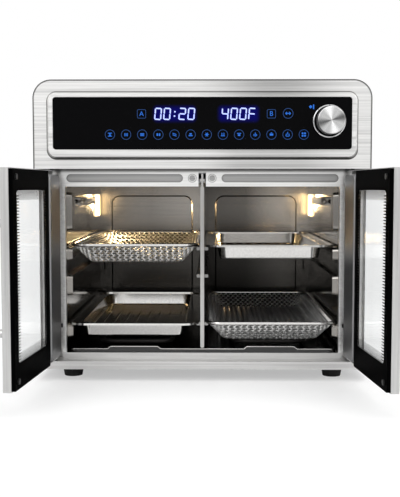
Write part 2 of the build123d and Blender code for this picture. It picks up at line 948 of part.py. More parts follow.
# Fan guards: perforated discs under the fan mouths
with BuildPart() as fan_guards:
    with BuildSketch(level(ceiling_z)):
        for place in fan_places:
            with Locations(place):
                Circle(fan_mouth_radius + guard_overlap)
                Circle(guard_hole_radius, mode=Mode.SUBTRACT)
                for ring in range(1, guard_rings + 1):
                    with PolarLocations(ring * guard_ring_pitch, 6 * ring):
                        Circle(guard_hole_radius, mode=Mode.SUBTRACT)
    extrude(amount=-cavity_sheet)
save(fan_guards, "fan_guards")

# Upper heaters: a tube ring under each fan whose tails rise through the shroud
upper_heater_z = ceiling_top_z + heater_clearance
with BuildPart() as upper_heaters:
    for x, y in fan_places:
        with BuildLine(Plane((x, y, upper_heater_z))) as ring_path:
            CenterArc((0, 0), heater_ring_radius, heater_gap_angle, 360 - 2 * heater_gap_angle)
        with BuildSketch(Plane(ring_path.line @ 0, z_dir=ring_path.line % 0)):
            Circle(heater_radius)
        sweep(path=ring_path.line)
    extrude(
        disc(level(upper_heater_z - sleeve_radius), heater_ends, sleeve_radius),
        amount=shroud_top_z + heater_tail - upper_heater_z + sleeve_radius,
    )
    extrude(disc(level(shroud_top_z), heater_ends, collar_radius), amount=collar_length)
save(upper_heaters, "upper_heaters")

# Lower heaters: a long U of tube over the floor in each zone, held at the back wall
heater_front_y = frame_back_y + heater_front_gap
heater_rear_y = cavity_back_y + cavity_sheet + collar_length + heater_tail / 2
with BuildPart() as lower_heaters:
    for side in sides:
        with BuildLine(level(lower_heater_z)) as tube_path:
            FilletPolyline(
                (side * zone_x - heater_half_spread, heater_rear_y),
                (side * zone_x - heater_half_spread, heater_front_y),
                (side * zone_x + heater_half_spread, heater_front_y),
                (side * zone_x + heater_half_spread, heater_rear_y),
                radius=heater_bend,
            )
        with BuildSketch(Plane(tube_path.line @ 0, z_dir=tube_path.line % 0)):
            Circle(heater_radius)
        sweep(path=tube_path.line)
    extrude(disc(facing(cavity_back_y + cavity_sheet), heater_places, collar_radius), amount=-collar_length)
save(lower_heaters, "lower_heaters")

# Fans: a backed ring of blades on a hub whose shaft runs up into the motor
fan_z0 = upper_heater_z + heater_radius + heater_clearance
fan_z1 = fan_z0 + fan_height
motor_z1 = shroud_top_z + motor_height
fan_shaft_top_z = motor_z1 - motor_height / 3
for name, (x, y) in zip(("left_fan", "right_fan"), fan_places):
    with BuildPart() as fan:
        extrude(disc(level(fan_z0), [(x, y)], fan_hub_radius), amount=fan_height)
        extrude(disc(level(fan_z1), [(x, y)], fan_radius), amount=fan_blade_sheet)
        with BuildSketch(level(fan_z0)):
            with Locations((x, y)):
                with PolarLocations((fan_radius + fan_hub_radius) / 2 - fan_blade_sheet, fan_blades):
                    Rectangle(fan_radius - fan_hub_radius, fan_blade_sheet)
        extrude(amount=fan_height)
        extrude(disc(level(fan_z1), [(x, y)], fan_shaft_radius), amount=fan_shaft_top_z - fan_z1)
    save(fan, name)

# Fan motors on the shrouds
with BuildPart() as fan_motors:
    extrude(disc(level(shroud_top_z), fan_places, motor_radius), amount=motor_height)
    fillet(fan_motors.faces().group_by(Axis.Z)[-1].edges(), fan_blade_sheet)
    extrude(
        disc(level(shroud_top_z), fan_places, fan_shaft_radius + running_gap),
        amount=fan_shaft_top_z - shroud_top_z + slide_gap,
        mode=Mode.SUBTRACT,
    )
save(fan_motors, "fan_motors")

# Lamp lenses in the side walls, each with a flange behind the wall
with BuildPart() as left_lens:
    extrude(
        rounded(
            across(-cavity_outer_half),
            (lamp_y, lamp_z),
            lamp_depth - 2 * fit_gap,
            lamp_height - 2 * fit_gap,
            rail_corner,
        ),
        amount=cavity_sheet + lamp_proud,
    )
    extrude(
        rounded(
            across(-cavity_outer_half),
            (lamp_y, lamp_z),
            lamp_depth + 2 * lamp_flange,
            lamp_height + 2 * lamp_flange,
            rail_corner,
        ),
        amount=-lamp_flange_sheet,
    )
    fillet(left_lens.faces().sort_by(Axis.X)[-1].edges(), lamp_proud / 2)
with BuildPart() as lamp_lenses:
    add(left_lens.part)
    mirror(left_lens.part, about=Plane.YZ)
save(lamp_lenses, "lamp_lenses")

# Lamp units: open boxes behind the lenses, each with its bulb
lamp_back_x = -cavity_outer_half - lamp_flange_sheet
with BuildPart() as left_lamp:
    extrude(
        rounded(
            across(lamp_back_x),
            (lamp_y, lamp_z),
            lamp_depth + 2 * lamp_flange,
            lamp_height + 2 * lamp_flange,
            rail_corner,
        ),
        amount=-lamp_unit_depth,
    )
    extrude(
        rounded(
            across(lamp_back_x),
            (lamp_y, lamp_z),
            lamp_depth + 2 * lamp_flange - 2 * lamp_unit_sheet,
            lamp_height + 2 * lamp_flange - 2 * lamp_unit_sheet,
            rail_corner - lamp_unit_sheet,
        ),
        amount=-(lamp_unit_depth - lamp_unit_sheet),
        mode=Mode.SUBTRACT,
    )
    extrude(
        disc(across(lamp_back_x - lamp_unit_depth + lamp_unit_sheet), [(lamp_y, lamp_z)], bulb_radius),
        amount=bulb_length,
    )
    with Locations((lamp_back_x - lamp_unit_depth + lamp_unit_sheet + bulb_length, lamp_y, lamp_z)):
        Sphere(bulb_radius)
with BuildPart() as lamp_units:
    add(left_lamp.part)
    mirror(left_lamp.part, about=Plane.YZ)
save(lamp_units, "lamp_units")

# Probe guards: short brackets on the side walls that shield the temperature probes
probe_y = frame_back_y + probe_centre_back
probe_z = mouth_z1 - probe_top_gap
probe_x = -cavity_half + probe_guard_reach / 2
guard_front_y = probe_y - probe_guard_length / 2
with BuildPart() as left_guard:
    extrude(
        rounded(
            across(-cavity_half),
            (probe_y, probe_z),
            probe_guard_length,
            probe_guard_height,
            probe_guard_sheet,
        ),
        amount=probe_guard_reach,
    )
    with BuildSketch(across(-cavity_half)):
        with Locations((probe_y, probe_z)):
            Rectangle(probe_guard_length - 2 * probe_guard_sheet, 2 * probe_guard_height)
    extrude(amount=probe_guard_reach - probe_guard_sheet, mode=Mode.SUBTRACT)
    extrude(
        disc(facing(guard_front_y), [(probe_x, probe_z)], probe_radius + fit_gap),
        amount=-probe_guard_length,
        mode=Mode.SUBTRACT,
    )
with BuildPart() as probe_guards:
    add(left_guard.part)
    mirror(left_guard.part, about=Plane.YZ)
save(probe_guards, "probe_guards")

# Temperature probes: rods inside the guards with a round nose to the front
with BuildPart() as left_probe:
    extrude(
        disc(facing(guard_front_y - probe_nose_reach), [(probe_x, probe_z)], probe_radius),
        amount=-(probe_guard_length + probe_nose_reach),
    )
    with Locations((probe_x, guard_front_y - probe_nose_reach, probe_z)):
        Sphere(probe_nose_radius)
with BuildPart() as temperature_probes:
    add(left_probe.part)
    mirror(left_probe.part, about=Plane.YZ)
save(temperature_probes, "temperature_probes")

# Power board on stand-offs from the rear cover, with its relay and capacitor blocks
power_board_y = rear_inner_y - standoff_length
power_board_z = ceiling_z + power_board_lift
standoff_places = [
    (power_board_x + x * (power_board_width / 2 - 2 * standoff_radius),
     power_board_z + z * (power_board_height / 2 - 2 * standoff_radius))
    for x in sides
    for z in sides
]
with BuildPart() as power_board:
    extrude(
        rounded(
            facing(power_board_y),
            (power_board_x, power_board_z),
            power_board_width,
            power_board_height,
            standoff_radius,
        ),
        amount=board_sheet,
    )
    extrude(disc(facing(rear_inner_y), standoff_places, standoff_radius), amount=standoff_length)
    for shift in (-1, 0, 1):
        extrude(
            rounded(
                facing(power_board_y - board_sheet),
                (power_board_x + shift * power_board_width / 4, power_board_z),
                power_board_width / 6,
                power_board_height / 3,
                board_sheet,
            ),
            amount=standoff_length,
        )
save(power_board, "power_board")

# Cord gland in the rear cover
gland_z = base_z + gland_lift
with BuildPart() as cord_gland:
    extrude(disc(facing(rear_y), [(gland_x, gland_z)], gland_flange_radius), amount=-gland_flange_sheet)
    fillet(cord_gland.faces().sort_by(Axis.Y)[-1].edges(), gland_flange_sheet / 2)
    extrude(
        disc(facing(rear_y), [(gland_x, gland_z)], gland_radius),
        amount=gland_length - gland_flange_sheet,
    )
    extrude(
        disc(facing(rear_y + gland_flange_sheet), [(gland_x, gland_z)], gland_bore_radius),
        amount=gland_length,
        mode=Mode.SUBTRACT,
    )
save(cord_gland, "cord_gland")

# Rubber feet: tapered blocks with a recess for their screw
foot_taper = Vector(foot_height, foot_top_radius - foot_bottom_radius, 0).get_angle(Vector(1, 0, 0))
with BuildPart() as rubber_feet:
    extrude(disc(level(foot_height), foot_places, foot_top_radius), amount=-foot_height, taper=foot_taper)
    extrude(disc(level(0), foot_places, foot_recess_radius), amount=foot_recess_depth, mode=Mode.SUBTRACT)
    extrude(disc(level(0), foot_places, screw_hole), amount=foot_height, mode=Mode.SUBTRACT)
save(rubber_feet, "rubber_feet")

# Housing screws: six in the rear cover and one in each foot
with BuildPart() as housing_screws:
    extrude(disc(facing(rear_y), rear_screw_places, screw_head_radius), amount=-screw_head_height)
    extrude(disc(facing(rear_y), rear_screw_places, screw_radius), amount=screw_length)
    extrude(disc(level(foot_recess_depth), foot_places, screw_head_radius), amount=-screw_head_height)
    extrude(disc(level(foot_recess_depth), foot_places, screw_radius), amount=screw_length)
save(housing_screws, "housing_screws")

# Hinge plates inside the fascia and the sill, and the pins pressed into them
upper_plate_z = fascia_z + fascia_sheet
lower_plate_z = sill_z - fascia_sheet - hinge_plate_sheet
with BuildPart() as hinge_plates:
    with BuildSketch(level(upper_plate_z), level(lower_plate_z)):
        with Locations(*hinge_places):
            Rectangle(hinge_plate_length, hinge_plate_width - fascia_sheet)
            Circle(hinge_pin_radius, mode=Mode.SUBTRACT)
    extrude(amount=hinge_plate_sheet)
save(hinge_plates, "hinge_plates")

collar_top_z = door_z0 - slide_gap
with BuildPart() as hinge_pins:
    extrude(
        disc(level(door_z1 - hinge_pin_reach), hinge_places, hinge_pin_radius),
        amount=upper_plate_z + hinge_plate_sheet - door_z1 + hinge_pin_reach,
    )
    extrude(
        disc(level(lower_plate_z), hinge_places, hinge_pin_radius),
        amount=door_z0 + hinge_pin_reach - lower_plate_z,
    )
    extrude(disc(level(sill_z), hinge_places, hinge_collar_radius), amount=collar_top_z - sill_z)
save(hinge_pins, "hinge_pins")

# Left door, drawn closed: steel shell, a tray of sheet with hinge blocks and screw bosses
cover_hinge_x = -hinge_x + door_cover_inset
cover_free_x = cover_hinge_x + door_cover_width
panel_hinge_x = cover_free_x + door_cover_gap
door_panel_width = door_free_x - door_panel_edge - panel_hinge_x
block_x = -hinge_x + hinge_block_reach
boss_places = [
    (-magnet_x, door_z0 + boss_end_inset),
    (-magnet_x, magnet_z),
]
outer_window_hinge_x = -hinge_x + outer_window_hinge_inset
outer_window_width = door_free_x - outer_window_free_inset - outer_window_hinge_x
outer_window_x = outer_window_hinge_x + outer_window_width / 2
outer_window_height = door_height - outer_window_bottom - outer_window_top
outer_window_z = door_z0 + outer_window_bottom + outer_window_height / 2
window_width = door_free_x - window_free_inset - panel_hinge_x - window_hinge_inset
window_x = door_free_x - window_free_inset - window_width / 2
window_height = door_height - window_bottom - window_top
window_z = door_z0 + window_bottom + window_height / 2
handle_x = door_free_x - handle_inset
post_places = [
    (handle_x, door_mid_z + side * (handle_length / 2 - handle_post_inset)) for side in sides
]
with BuildPart() as door_shell:
    with BuildSketch(level(door_z0)) as plan:
        with Locations(((door_free_x + door_tail_x) / 2, (front_y + door_back_y) / 2)):
            Rectangle(door_free_x - door_tail_x, door_shell_depth)
        fillet(plan.vertices().group_by(Axis.X)[0], door_tail_corner)
        fillet(plan.vertices().group_by(Axis.X)[-1], door_edge_round)
    extrude(amount=door_height)
    with BuildSketch(facing(door_back_y)):
        with Locations(((door_free_x - door_sheet + block_x) / 2, door_mid_z)):
            Rectangle(door_free_x - door_sheet - block_x, door_height - 2 * door_sheet)
        with Locations(((door_tail_x + door_tail_corner + block_x) / 2, door_mid_z)):
            Rectangle(block_x - door_tail_x - door_tail_corner, door_height - 2 * hinge_block_height)
    extrude(amount=door_shell_depth - door_sheet, mode=Mode.SUBTRACT)
    extrude(disc(facing(door_back_y), boss_places, boss_radius), amount=door_shell_depth - door_sheet)
    extrude(
        disc(facing(door_back_y), boss_places, door_screw_radius),
        amount=door_shell_depth - door_sheet,
        mode=Mode.SUBTRACT,
    )
    extrude(
        rounded(
            facing(front_y),
            (outer_window_x, outer_window_z),
            outer_window_width,
            outer_window_height,
            window_corner,
        ),
        amount=-door_sheet,
        mode=Mode.SUBTRACT,
    )
    extrude(
        disc(level(door_z0), [(-hinge_x, hinge_y)], hinge_pin_radius + running_gap),
        amount=hinge_pin_reach + 2 * slide_gap,
        mode=Mode.SUBTRACT,
    )
    extrude(
        disc(level(door_z1), [(-hinge_x, hinge_y)], hinge_pin_radius + running_gap),
        amount=-(hinge_pin_reach + 2 * slide_gap),
        mode=Mode.SUBTRACT,
    )
save_door_piece(door_shell, "door_shell")

# Outer glass, glued behind the shell's window
with BuildPart() as door_glass:
    extrude(
        rounded(
            facing(front_y + door_sheet),
            (outer_window_x, outer_window_z),
            outer_window_width + 2 * pane_overlap,
            outer_window_height + 2 * pane_overlap,
            window_corner,
        ),
        amount=-pane_thickness,
    )
save_door_piece(door_glass, "door_glass")

# Black inner panel with its window
with BuildPart() as door_panel:
    extrude(
        rounded(
            facing(door_back_y),
            (panel_hinge_x + door_panel_width / 2, door_mid_z),
            door_panel_width,
            door_height - 2 * door_panel_edge,
            door_panel_edge,
        ),
        amount=-door_panel_sheet,
    )
    extrude(
        rounded(facing(door_back_y), (window_x, window_z), window_width, window_height, window_corner),
        amount=-door_panel_sheet,
        mode=Mode.SUBTRACT,
    )
    extrude(
        disc(facing(door_back_y), boss_places, door_screw_radius),
        amount=-door_panel_sheet,
        mode=Mode.SUBTRACT,
    )
save_door_piece(door_panel, "door_panel")

# Inner glass, set into the black panel's window nearly flush with its face
pane_face_y = door_back_y + door_panel_sheet - pane_recess
with BuildPart() as door_inner_glass:
    extrude(
        rounded(
            facing(pane_face_y),
            (window_x, window_z),
            window_width - 2 * fit_gap,
            window_height - 2 * fit_gap,
            window_corner - fit_gap,
        ),
        amount=pane_thickness,
    )
save_door_piece(door_inner_glass, "door_inner_glass")

# Hinge cover: raised steel strip beside the black panel
with BuildPart() as door_hinge_cover:
    extrude(
        rounded(
            facing(door_back_y),
            ((cover_free_x + cover_hinge_x) / 2, door_mid_z),
            door_cover_width,
            door_height - 2 * door_cover_end_gap,
            door_cover_sheet,
        ),
        amount=-door_cover_sheet,
    )
    fillet(door_hinge_cover.faces().sort_by(Axis.Y)[-1].edges(), door_cover_sheet / 3)
save_door_piece(door_hinge_cover, "door_hinge_cover")

# Bar handle on two posts
handle_back_y = front_y - handle_finger_gap
with BuildPart() as door_handle:
    with BuildSketch(facing(handle_back_y)):
        with Locations((handle_x, door_mid_z)):
            Rectangle(handle_width, handle_length)
    extrude(amount=handle_thickness)
    fillet(
        door_handle.edges().filter_by(Axis.Z),
        min(handle_round, 0.45 * handle_thickness, 0.45 * handle_width),
    )
    extrude(disc(facing(front_y), post_places, handle_post_radius), amount=handle_finger_gap)
save_door_piece(door_handle, "door_handle")

# Door screws in the black panel: the upper one is also the strike for the latch magnet
panel_back_y = door_back_y + door_panel_sheet
with BuildPart() as door_screws:
    extrude(disc(facing(panel_back_y), boss_places, door_screw_head_radius), amount=-door_screw_head_height)
    extrude(disc(facing(panel_back_y), boss_places, door_screw_radius), amount=door_screw_length)
save_door_piece(door_screws, "door_screws")

# Removable divider: sheet that hangs by the flanges of its head in the guide, with a rail on both sides
# at each tray level
divider_y0 = frame_y + divider_front_gap
divider_y1 = cavity_back_y - rail_end_gap
divider_z0 = floor_z + slide_gap + crumb_sheet + crumb_rim + 4 * slide_gap
divider_neck_z = ceiling_top_z + guide_sheet + slide_gap
divider_crest_z = ceiling_top_z + guide_height - guide_sheet - slide_gap
divider_rails = (lower_rail_z, middle_rail_z, upper_rail_z)
with BuildPart() as divider:
    with BuildSketch(across(-divider_sheet / 2)):
        with Locations(((divider_y0 + divider_y1) / 2, (divider_z0 + divider_crest_z) / 2)):
            Rectangle(divider_y1 - divider_y0, divider_crest_z - divider_z0)
    extrude(amount=divider_sheet)
    with BuildSketch(facing(divider_y0)):
        with Locations((0, divider_neck_z + divider_head_height / 2)):
            Rectangle(divider_head_width, divider_head_height)
    extrude(amount=-(divider_y1 - divider_y0))
    with BuildSketch(facing(divider_y0)):
        with Locations((0, (divider_z0 + mouth_z1) / 2)):
            RectangleRounded(
                divider_edge_width,
                mouth_z1 - divider_z0 - 2 * slide_gap,
                divider_edge_width * 0.3,
            )
    extrude(amount=-divider_edge_depth)
    with BuildSketch(facing(divider_y0 + divider_rail_setback)):
        for rail_z in divider_rails:
            with Locations((0, rail_z - divider_rail_height / 2)):
                RectangleRounded(divider_sheet + 2 * divider_rail, divider_rail_height, divider_rail_height / 4)
    extrude(amount=-(divider_y1 - divider_y0 - divider_rail_setback))
save(divider, "divider")

# Mesh baskets: a bent-wire rim and a sloped tub of mesh, drawn as thin sheet
basket_z = {"left": upper_rail_z, "right": lower_rail_z}
basket_y = {"left": upper_tray_y, "right": lower_tray_y}
rim_width = tray_width - 2 * basket_wire_radius
rim_length = tray_length - 2 * basket_wire_radius
tub_width = rim_width - 2 * basket_wire_radius - 2 * fit_gap
tub_length = rim_length - 2 * basket_wire_radius - 2 * fit_gap
tub_corner = tray_corner - 2 * basket_wire_radius
for hand, side in zip(("left", "right"), sides):
    rim_z = basket_z[hand] + fit_gap + basket_wire_radius
    centre = (side * tray_x, basket_y[hand] + tray_length / 2)
    rim_corner = tray_corner - basket_wire_radius
    rim_path = rounded(level(rim_z), centre, rim_width, rim_length, rim_corner).face().outer_wire()
    with BuildPart() as basket_rim:
        with BuildSketch(Plane(rim_path @ 0, z_dir=rim_path % 0)):
            Circle(basket_wire_radius)
        sweep(path=rim_path)
    save(basket_rim, f"{hand}_basket_rim")

    with BuildPart() as basket_mesh:
        loft(
            [
                rounded(level(rim_z), centre, tub_width, tub_length, tub_corner),
                rounded(
                    level(rim_z - basket_depth),
                    centre,
                    tub_width - 2 * basket_slope,
                    tub_length - 2 * basket_slope,
                    basket_corner,
                ),
            ]
        )
        loft(
            [
                rounded(
                    level(rim_z),
                    centre,
                    tub_width - 2 * basket_sheet,
                    tub_length - 2 * basket_sheet,
                    tub_corner - basket_sheet,
                ),
                rounded(
                    level(rim_z - basket_depth + basket_sheet),
                    centre,
                    tub_width - 2 * basket_slope - 2 * basket_sheet,
                    tub_length - 2 * basket_slope - 2 * basket_sheet,
                    basket_corner - basket_sheet,
                ),
            ],
            mode=Mode.SUBTRACT,
        )
    save(basket_mesh, f"{hand}_basket_mesh")

# Steel pans: flat flange with a raised bead, a tapered tub and ribs along its floor
pan_z = {"left": lower_rail_z, "right": upper_rail_z}
pan_y = {"left": lower_tray_y, "right": upper_tray_y}
pan_tub_width = tray_width - 2 * pan_flange
pan_tub_length = tray_length - 2 * pan_flange
for hand, side in zip(("left", "right"), sides):
    flange_z = pan_z[hand] + fit_gap
    centre = (side * tray_x, pan_y[hand] + tray_length / 2)
    with BuildPart() as hollow:
        extrude(
            rounded(
                level(flange_z + pan_sheet),
                centre,
                pan_tub_width - 2 * pan_sheet,
                pan_tub_length - 2 * pan_sheet,
                pan_corner - pan_sheet,
            ),
            amount=-(pan_depth - pan_sheet),
            taper=pan_taper,
        )
        fillet(hollow.faces().sort_by(Axis.Z)[0].edges(), pan_bend - pan_sheet / 2)
    with BuildPart() as pan:
        extrude(rounded(level(flange_z), centre, tray_width, tray_length, tray_corner), amount=pan_sheet)
        extrude(
            rounded(level(flange_z), centre, tray_width, tray_length, tray_corner),
            amount=pan_sheet + pan_bead_height,
        )
        extrude(
            rounded(
                level(flange_z + pan_sheet),
                centre,
                tray_width - 2 * pan_bead_width,
                tray_length - 2 * pan_bead_width,
                tray_corner - pan_bead_width,
            ),
            amount=pan_bead_height,
            mode=Mode.SUBTRACT,
        )
        extrude(
            rounded(level(flange_z + pan_sheet), centre, pan_tub_width, pan_tub_length, pan_corner),
            amount=-pan_depth,
            taper=pan_taper,
        )
        fillet(pan.faces().sort_by(Axis.Z)[0].edges(), pan_bend)
        add(hollow.part, mode=Mode.SUBTRACT)
        with BuildSketch(level(flange_z + 2 * pan_sheet - pan_depth)):
            with Locations(centre):
                with GridLocations(pan_tub_width / (pan_ribs + 1), 0, pan_ribs, 1):
                    SlotOverall(pan_tub_length - 2 * pan_rib_end_gap, pan_rib_width, rotation=90)
        extrude(amount=pan_rib_height, taper=pan_taper)
    save(pan, f"{hand}_pan")

# Crumb tray over the whole floor, with a low rim and two upright grips at the front
crumb_y0 = frame_y + crumb_front_gap
crumb_y1 = cavity_back_y - crumb_end_gap
crumb_half = mouth_half - mouth_corner - crumb_side_gap
crumb_z = floor_z + slide_gap
crumb_centre = (0, (crumb_y0 + crumb_y1) / 2)
with BuildPart() as crumb_tray:
    extrude(
        rounded(level(crumb_z), crumb_centre, 2 * crumb_half, crumb_y1 - crumb_y0, crumb_corner),
        amount=crumb_sheet + crumb_rim,
    )
    extrude(
        rounded(
            level(crumb_z + crumb_sheet),
            crumb_centre,
            2 * crumb_half - 2 * crumb_sheet,
            crumb_y1 - crumb_y0 - 2 * crumb_sheet,
            crumb_corner - crumb_sheet,
        ),
        amount=crumb_rim,
        mode=Mode.SUBTRACT,
    )
    with BuildSketch(facing(crumb_y0 + grip_sheet)):
        for side in sides:
            with BuildLine():
                Polyline(
                    (side * zone_x - grip_base / 2, crumb_z),
                    (side * zone_x + grip_base / 2, crumb_z),
                    (side * zone_x + grip_top / 2, crumb_z + grip_rise),
                    (side * zone_x - grip_top / 2, crumb_z + grip_rise),
                    close=True,
                )
            make_face()
    extrude(amount=grip_sheet)
save(crumb_tray, "crumb_tray")
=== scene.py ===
"""Looks of a counter-top dual-zone toaster oven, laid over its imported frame."""
import json
import math
from contextlib import contextmanager

import bpy
from bpy.props import FloatProperty, FloatVectorProperty, PointerProperty
from mathutils import Matrix, Vector


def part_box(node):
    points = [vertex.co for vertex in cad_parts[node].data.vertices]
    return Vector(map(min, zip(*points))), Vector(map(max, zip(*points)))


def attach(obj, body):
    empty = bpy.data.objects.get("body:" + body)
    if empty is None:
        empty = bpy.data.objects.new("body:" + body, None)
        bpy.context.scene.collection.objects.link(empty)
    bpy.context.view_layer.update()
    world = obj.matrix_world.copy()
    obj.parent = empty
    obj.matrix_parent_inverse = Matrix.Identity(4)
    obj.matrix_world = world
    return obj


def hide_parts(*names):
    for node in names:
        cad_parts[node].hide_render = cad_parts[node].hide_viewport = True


bl_info = {
    "name": "Dual-zone toaster oven",
    "version": (1, 0, 0),
    "blender": (4, 5, 0),
    "location": "3D View > Sidebar > Oven",
    "description": "Dresses the packed oven with woven baskets, a lit control panel and steel finishes",
    "category": "Object",
}

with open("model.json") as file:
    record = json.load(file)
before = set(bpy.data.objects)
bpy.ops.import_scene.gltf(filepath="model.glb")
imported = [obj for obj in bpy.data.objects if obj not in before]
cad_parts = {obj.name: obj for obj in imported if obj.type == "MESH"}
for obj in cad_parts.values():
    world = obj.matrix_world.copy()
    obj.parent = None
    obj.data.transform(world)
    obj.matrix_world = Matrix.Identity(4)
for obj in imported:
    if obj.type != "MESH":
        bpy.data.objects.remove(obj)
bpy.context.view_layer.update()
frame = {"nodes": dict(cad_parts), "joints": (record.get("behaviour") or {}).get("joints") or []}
nodes = frame["nodes"]

HINGE = Vector(next(j["pos_m"] for j in frame["joints"] if j["name"] == "left_door_hinge"))
SWING = math.radians(95.0)
# Turn that stands a flat shape up, so that it faces the front
UPRIGHT = (math.pi / 2, 0, 0)
RING_SIDES = 28
SMOOTH_ANGLE = math.radians(60)
# Depth of the relief of brush lines and of grain
BRUSH_DEPTH = 0.0004
GRAIN_DEPTH = 0.0003
BRIGHT_STEEL = (0.95, 0.945, 0.935)
CHROME = (0.72, 0.72, 0.73)


def length_setting(name, description, default):
    """Setting that is a length in metres."""
    return FloatProperty(name=name, description=description, default=default, unit="LENGTH")


def colour_setting(name, description, default):
    """Setting that is a colour."""
    return FloatVectorProperty(name=name, description=description, default=default, subtype="COLOR")


class PanelSettings(bpy.types.PropertyGroup):
    """Sizes and colours of the lit marks on the control glass."""

    digit_height: length_setting("Digit height", "Height of the clock and heat figures", 0.0127)
    digit_colour: colour_setting("Digit colour", "Light of the figures", (0.42, 0.50, 1.0))
    mark_colour: colour_setting("Mark colour", "Light of the touch marks", (0.0, 0.15, 0.72))
    rim_colour: colour_setting("Rim colour", "Light of the rings round the touch marks", (0.0, 0.055, 0.24))
    glow_colour: colour_setting("Glow colour", "Haze round the figures", (0.0, 0.0, 0.55))
    row_z: length_setting("Touch row", "Height of the row of touch marks", 0.2939)
    figure_z: length_setting("Figure row", "Height of the middle of the figures", 0.3181)
    mark_pitch: length_setting("Mark pitch", "Step from one touch mark to the next", 0.019)
    mark_radius: length_setting("Mark radius", "Outer radius of a touch mark", 0.0059)
    letter_height: length_setting("Letter height", "Height of the two zone letters", 0.0056)
    lift: length_setting("Print height", "How far the marks stand on the glass", 0.00012)


class BasketSettings(bpy.types.PropertyGroup):
    """Wire and pitch of the woven baskets."""

    wire_radius: length_setting("Wire radius", "Radius of the woven wire", 0.0011)
    pitch: length_setting("Mesh pitch", "Step from wire to wire", 0.0054)
    slope: length_setting("Wall slope", "How far the walls lean in from rim to floor", 0.017)
    rim_corner: length_setting("Rim corner", "Corner radius at the rim", 0.0156)
    floor_corner: length_setting("Floor corner", "Corner radius at the floor", 0.014)


class FrameSettings(bpy.types.PropertyGroup):
    """Corners and bezel of the fascia, and pressed pills of the front frame."""

    corner: length_setting("Housing corner", "Corner radius of the housing", 0.022)
    bezel_corner: length_setting("Bezel corner", "Corner radius of the bezel", 0.012)
    bezel_side: length_setting("Bezel side", "Fascia beside the bezel", 0.016)
    bezel_top: length_setting("Bezel top", "Fascia above the bezel", 0.0135)
    bezel_bottom: length_setting("Bezel bottom", "Fascia below the bezel", 0.0105)
    pill_start: length_setting("Pill start", "Where a pill begins beside the middle", 0.0234)
    pill_end: length_setting("Pill end", "Where a pill ends at the side", 0.164)
    pill_radius: length_setting("Pill radius", "Half the height of a pill", 0.00485)
    bottom_rail: length_setting("Bottom rail", "Height of the rail under the mouth", 0.0071)
    shade_depth: length_setting("Shade", "How far down the frame is dim under the fascia", 0.0055)


class DoorSettings(bpy.types.PropertyGroup):
    """Printed border of the door windows."""

    tick_length: length_setting("Tick length", "Length of the ticks in the border", 0.0100)
    tick_width: length_setting("Tick width", "Width of one tick", 0.0019)
    tick_pitch: length_setting("Tick pitch", "Step from tick to tick", 0.0031)


class FinishSettings(bpy.types.PropertyGroup):
    """Tones of the metals, the black parts and the lamp light."""

    steel: colour_setting("Front steel", "Tone of the fascia", (0.87, 0.865, 0.855))
    wrap: colour_setting("Wrap steel", "Tone of the top and sides", (0.60, 0.597, 0.59))
    polished: colour_setting("Polished steel", "Tone of the cavity", (0.30, 0.285, 0.265))
    ware: colour_setting("Ware steel", "Tone of pans and rims", (0.80, 0.79, 0.77))
    enamel: colour_setting("Black enamel", "Tone of the doors' inner panels", (0.0012, 0.0012, 0.0013))
    lamp: colour_setting("Lamp light", "Colour of the cavity lamps", (1.0, 0.72, 0.38))


class StageSettings(bpy.types.PropertyGroup):
    """Camera and floor."""

    camera_place: FloatVectorProperty(
        name="Camera", description="Place of the camera", default=(0.0084, -1.240, 0.2325), subtype="XYZ",
        unit="LENGTH")
    camera_tilt: FloatProperty(
        name="Tilt", description="Angle of the look down", default=math.radians(4.02), subtype="ANGLE")
    camera_turn: FloatProperty(
        name="Turn", description="Angle of the look left", default=math.radians(0.6), subtype="ANGLE")
    lens: FloatProperty(
        name="Lens", description="Focal length in millimetres", default=63.45, unit="CAMERA")
    floor_colour: colour_setting("Floor", "Tone of the pale floor", (0.96, 0.96, 0.96))


def deselect_all():
    """Leave edit mode and select nothing."""
    if bpy.context.object and bpy.context.object.mode != "OBJECT":
        bpy.ops.object.mode_set(mode="OBJECT")
    bpy.ops.object.select_all(action="DESELECT")


def pick(*objects):
    """Select only these objects, with the first one active."""
    deselect_all()
    for item in objects:
        item.select_set(True)
    bpy.context.view_layer.objects.active = objects[0]


def settle(piece):
    """Put a piece's place into its mesh, so that its object sits at the origin."""
    pick(piece)
    bpy.ops.object.transform_apply(location=True, rotation=True, scale=True)
    return piece


def add_piece(name, add, **options):
    """Add a primitive or text with nothing else selected, as a piece of that name."""
    deselect_all()
    add(**options)
    piece = bpy.context.object
    piece.name = name
    return piece


@contextmanager
def shaping(piece):
    """Edit a piece's mesh, with all of it selected at first."""
    pick(piece)
    bpy.ops.object.mode_set(mode="EDIT")
    bpy.ops.mesh.select_all(action="SELECT")
    yield
    bpy.ops.object.mode_set(mode="OBJECT")


def join(name, parts):
    """Join parts into one piece of that name."""
    pick(*parts)
    bpy.ops.object.join()
    piece = bpy.context.object
    piece.name = name
    piece.data.name = name
    return settle(piece)


def copy_part(part, place=(0, 0, 0), turn=0.0, size=(1, 1, 1)):
    """Copy a part with its own mesh, turned in the plane of the front and set down at a place."""
    twin = part.copy()
    twin.data = part.data.copy()
    bpy.context.scene.collection.objects.link(twin)
    twin.matrix_world = Matrix.LocRotScale(Vector(place), Matrix.Rotation(turn, 3, "Y"), Vector(size))
    return twin


def discard(*parts):
    """Remove the patterns that copies were made from."""
    pick(*parts)
    bpy.ops.object.delete()


def thicken(piece, depth):
    """Give a flat face its depth towards the back and turn all its faces outwards."""
    with shaping(piece):
        bpy.ops.mesh.extrude_region_move(TRANSFORM_OT_translate={"value": (0, depth, 0)})
        bpy.ops.mesh.select_all(action="SELECT")
        bpy.ops.mesh.normals_make_consistent(inside=False)
    return piece


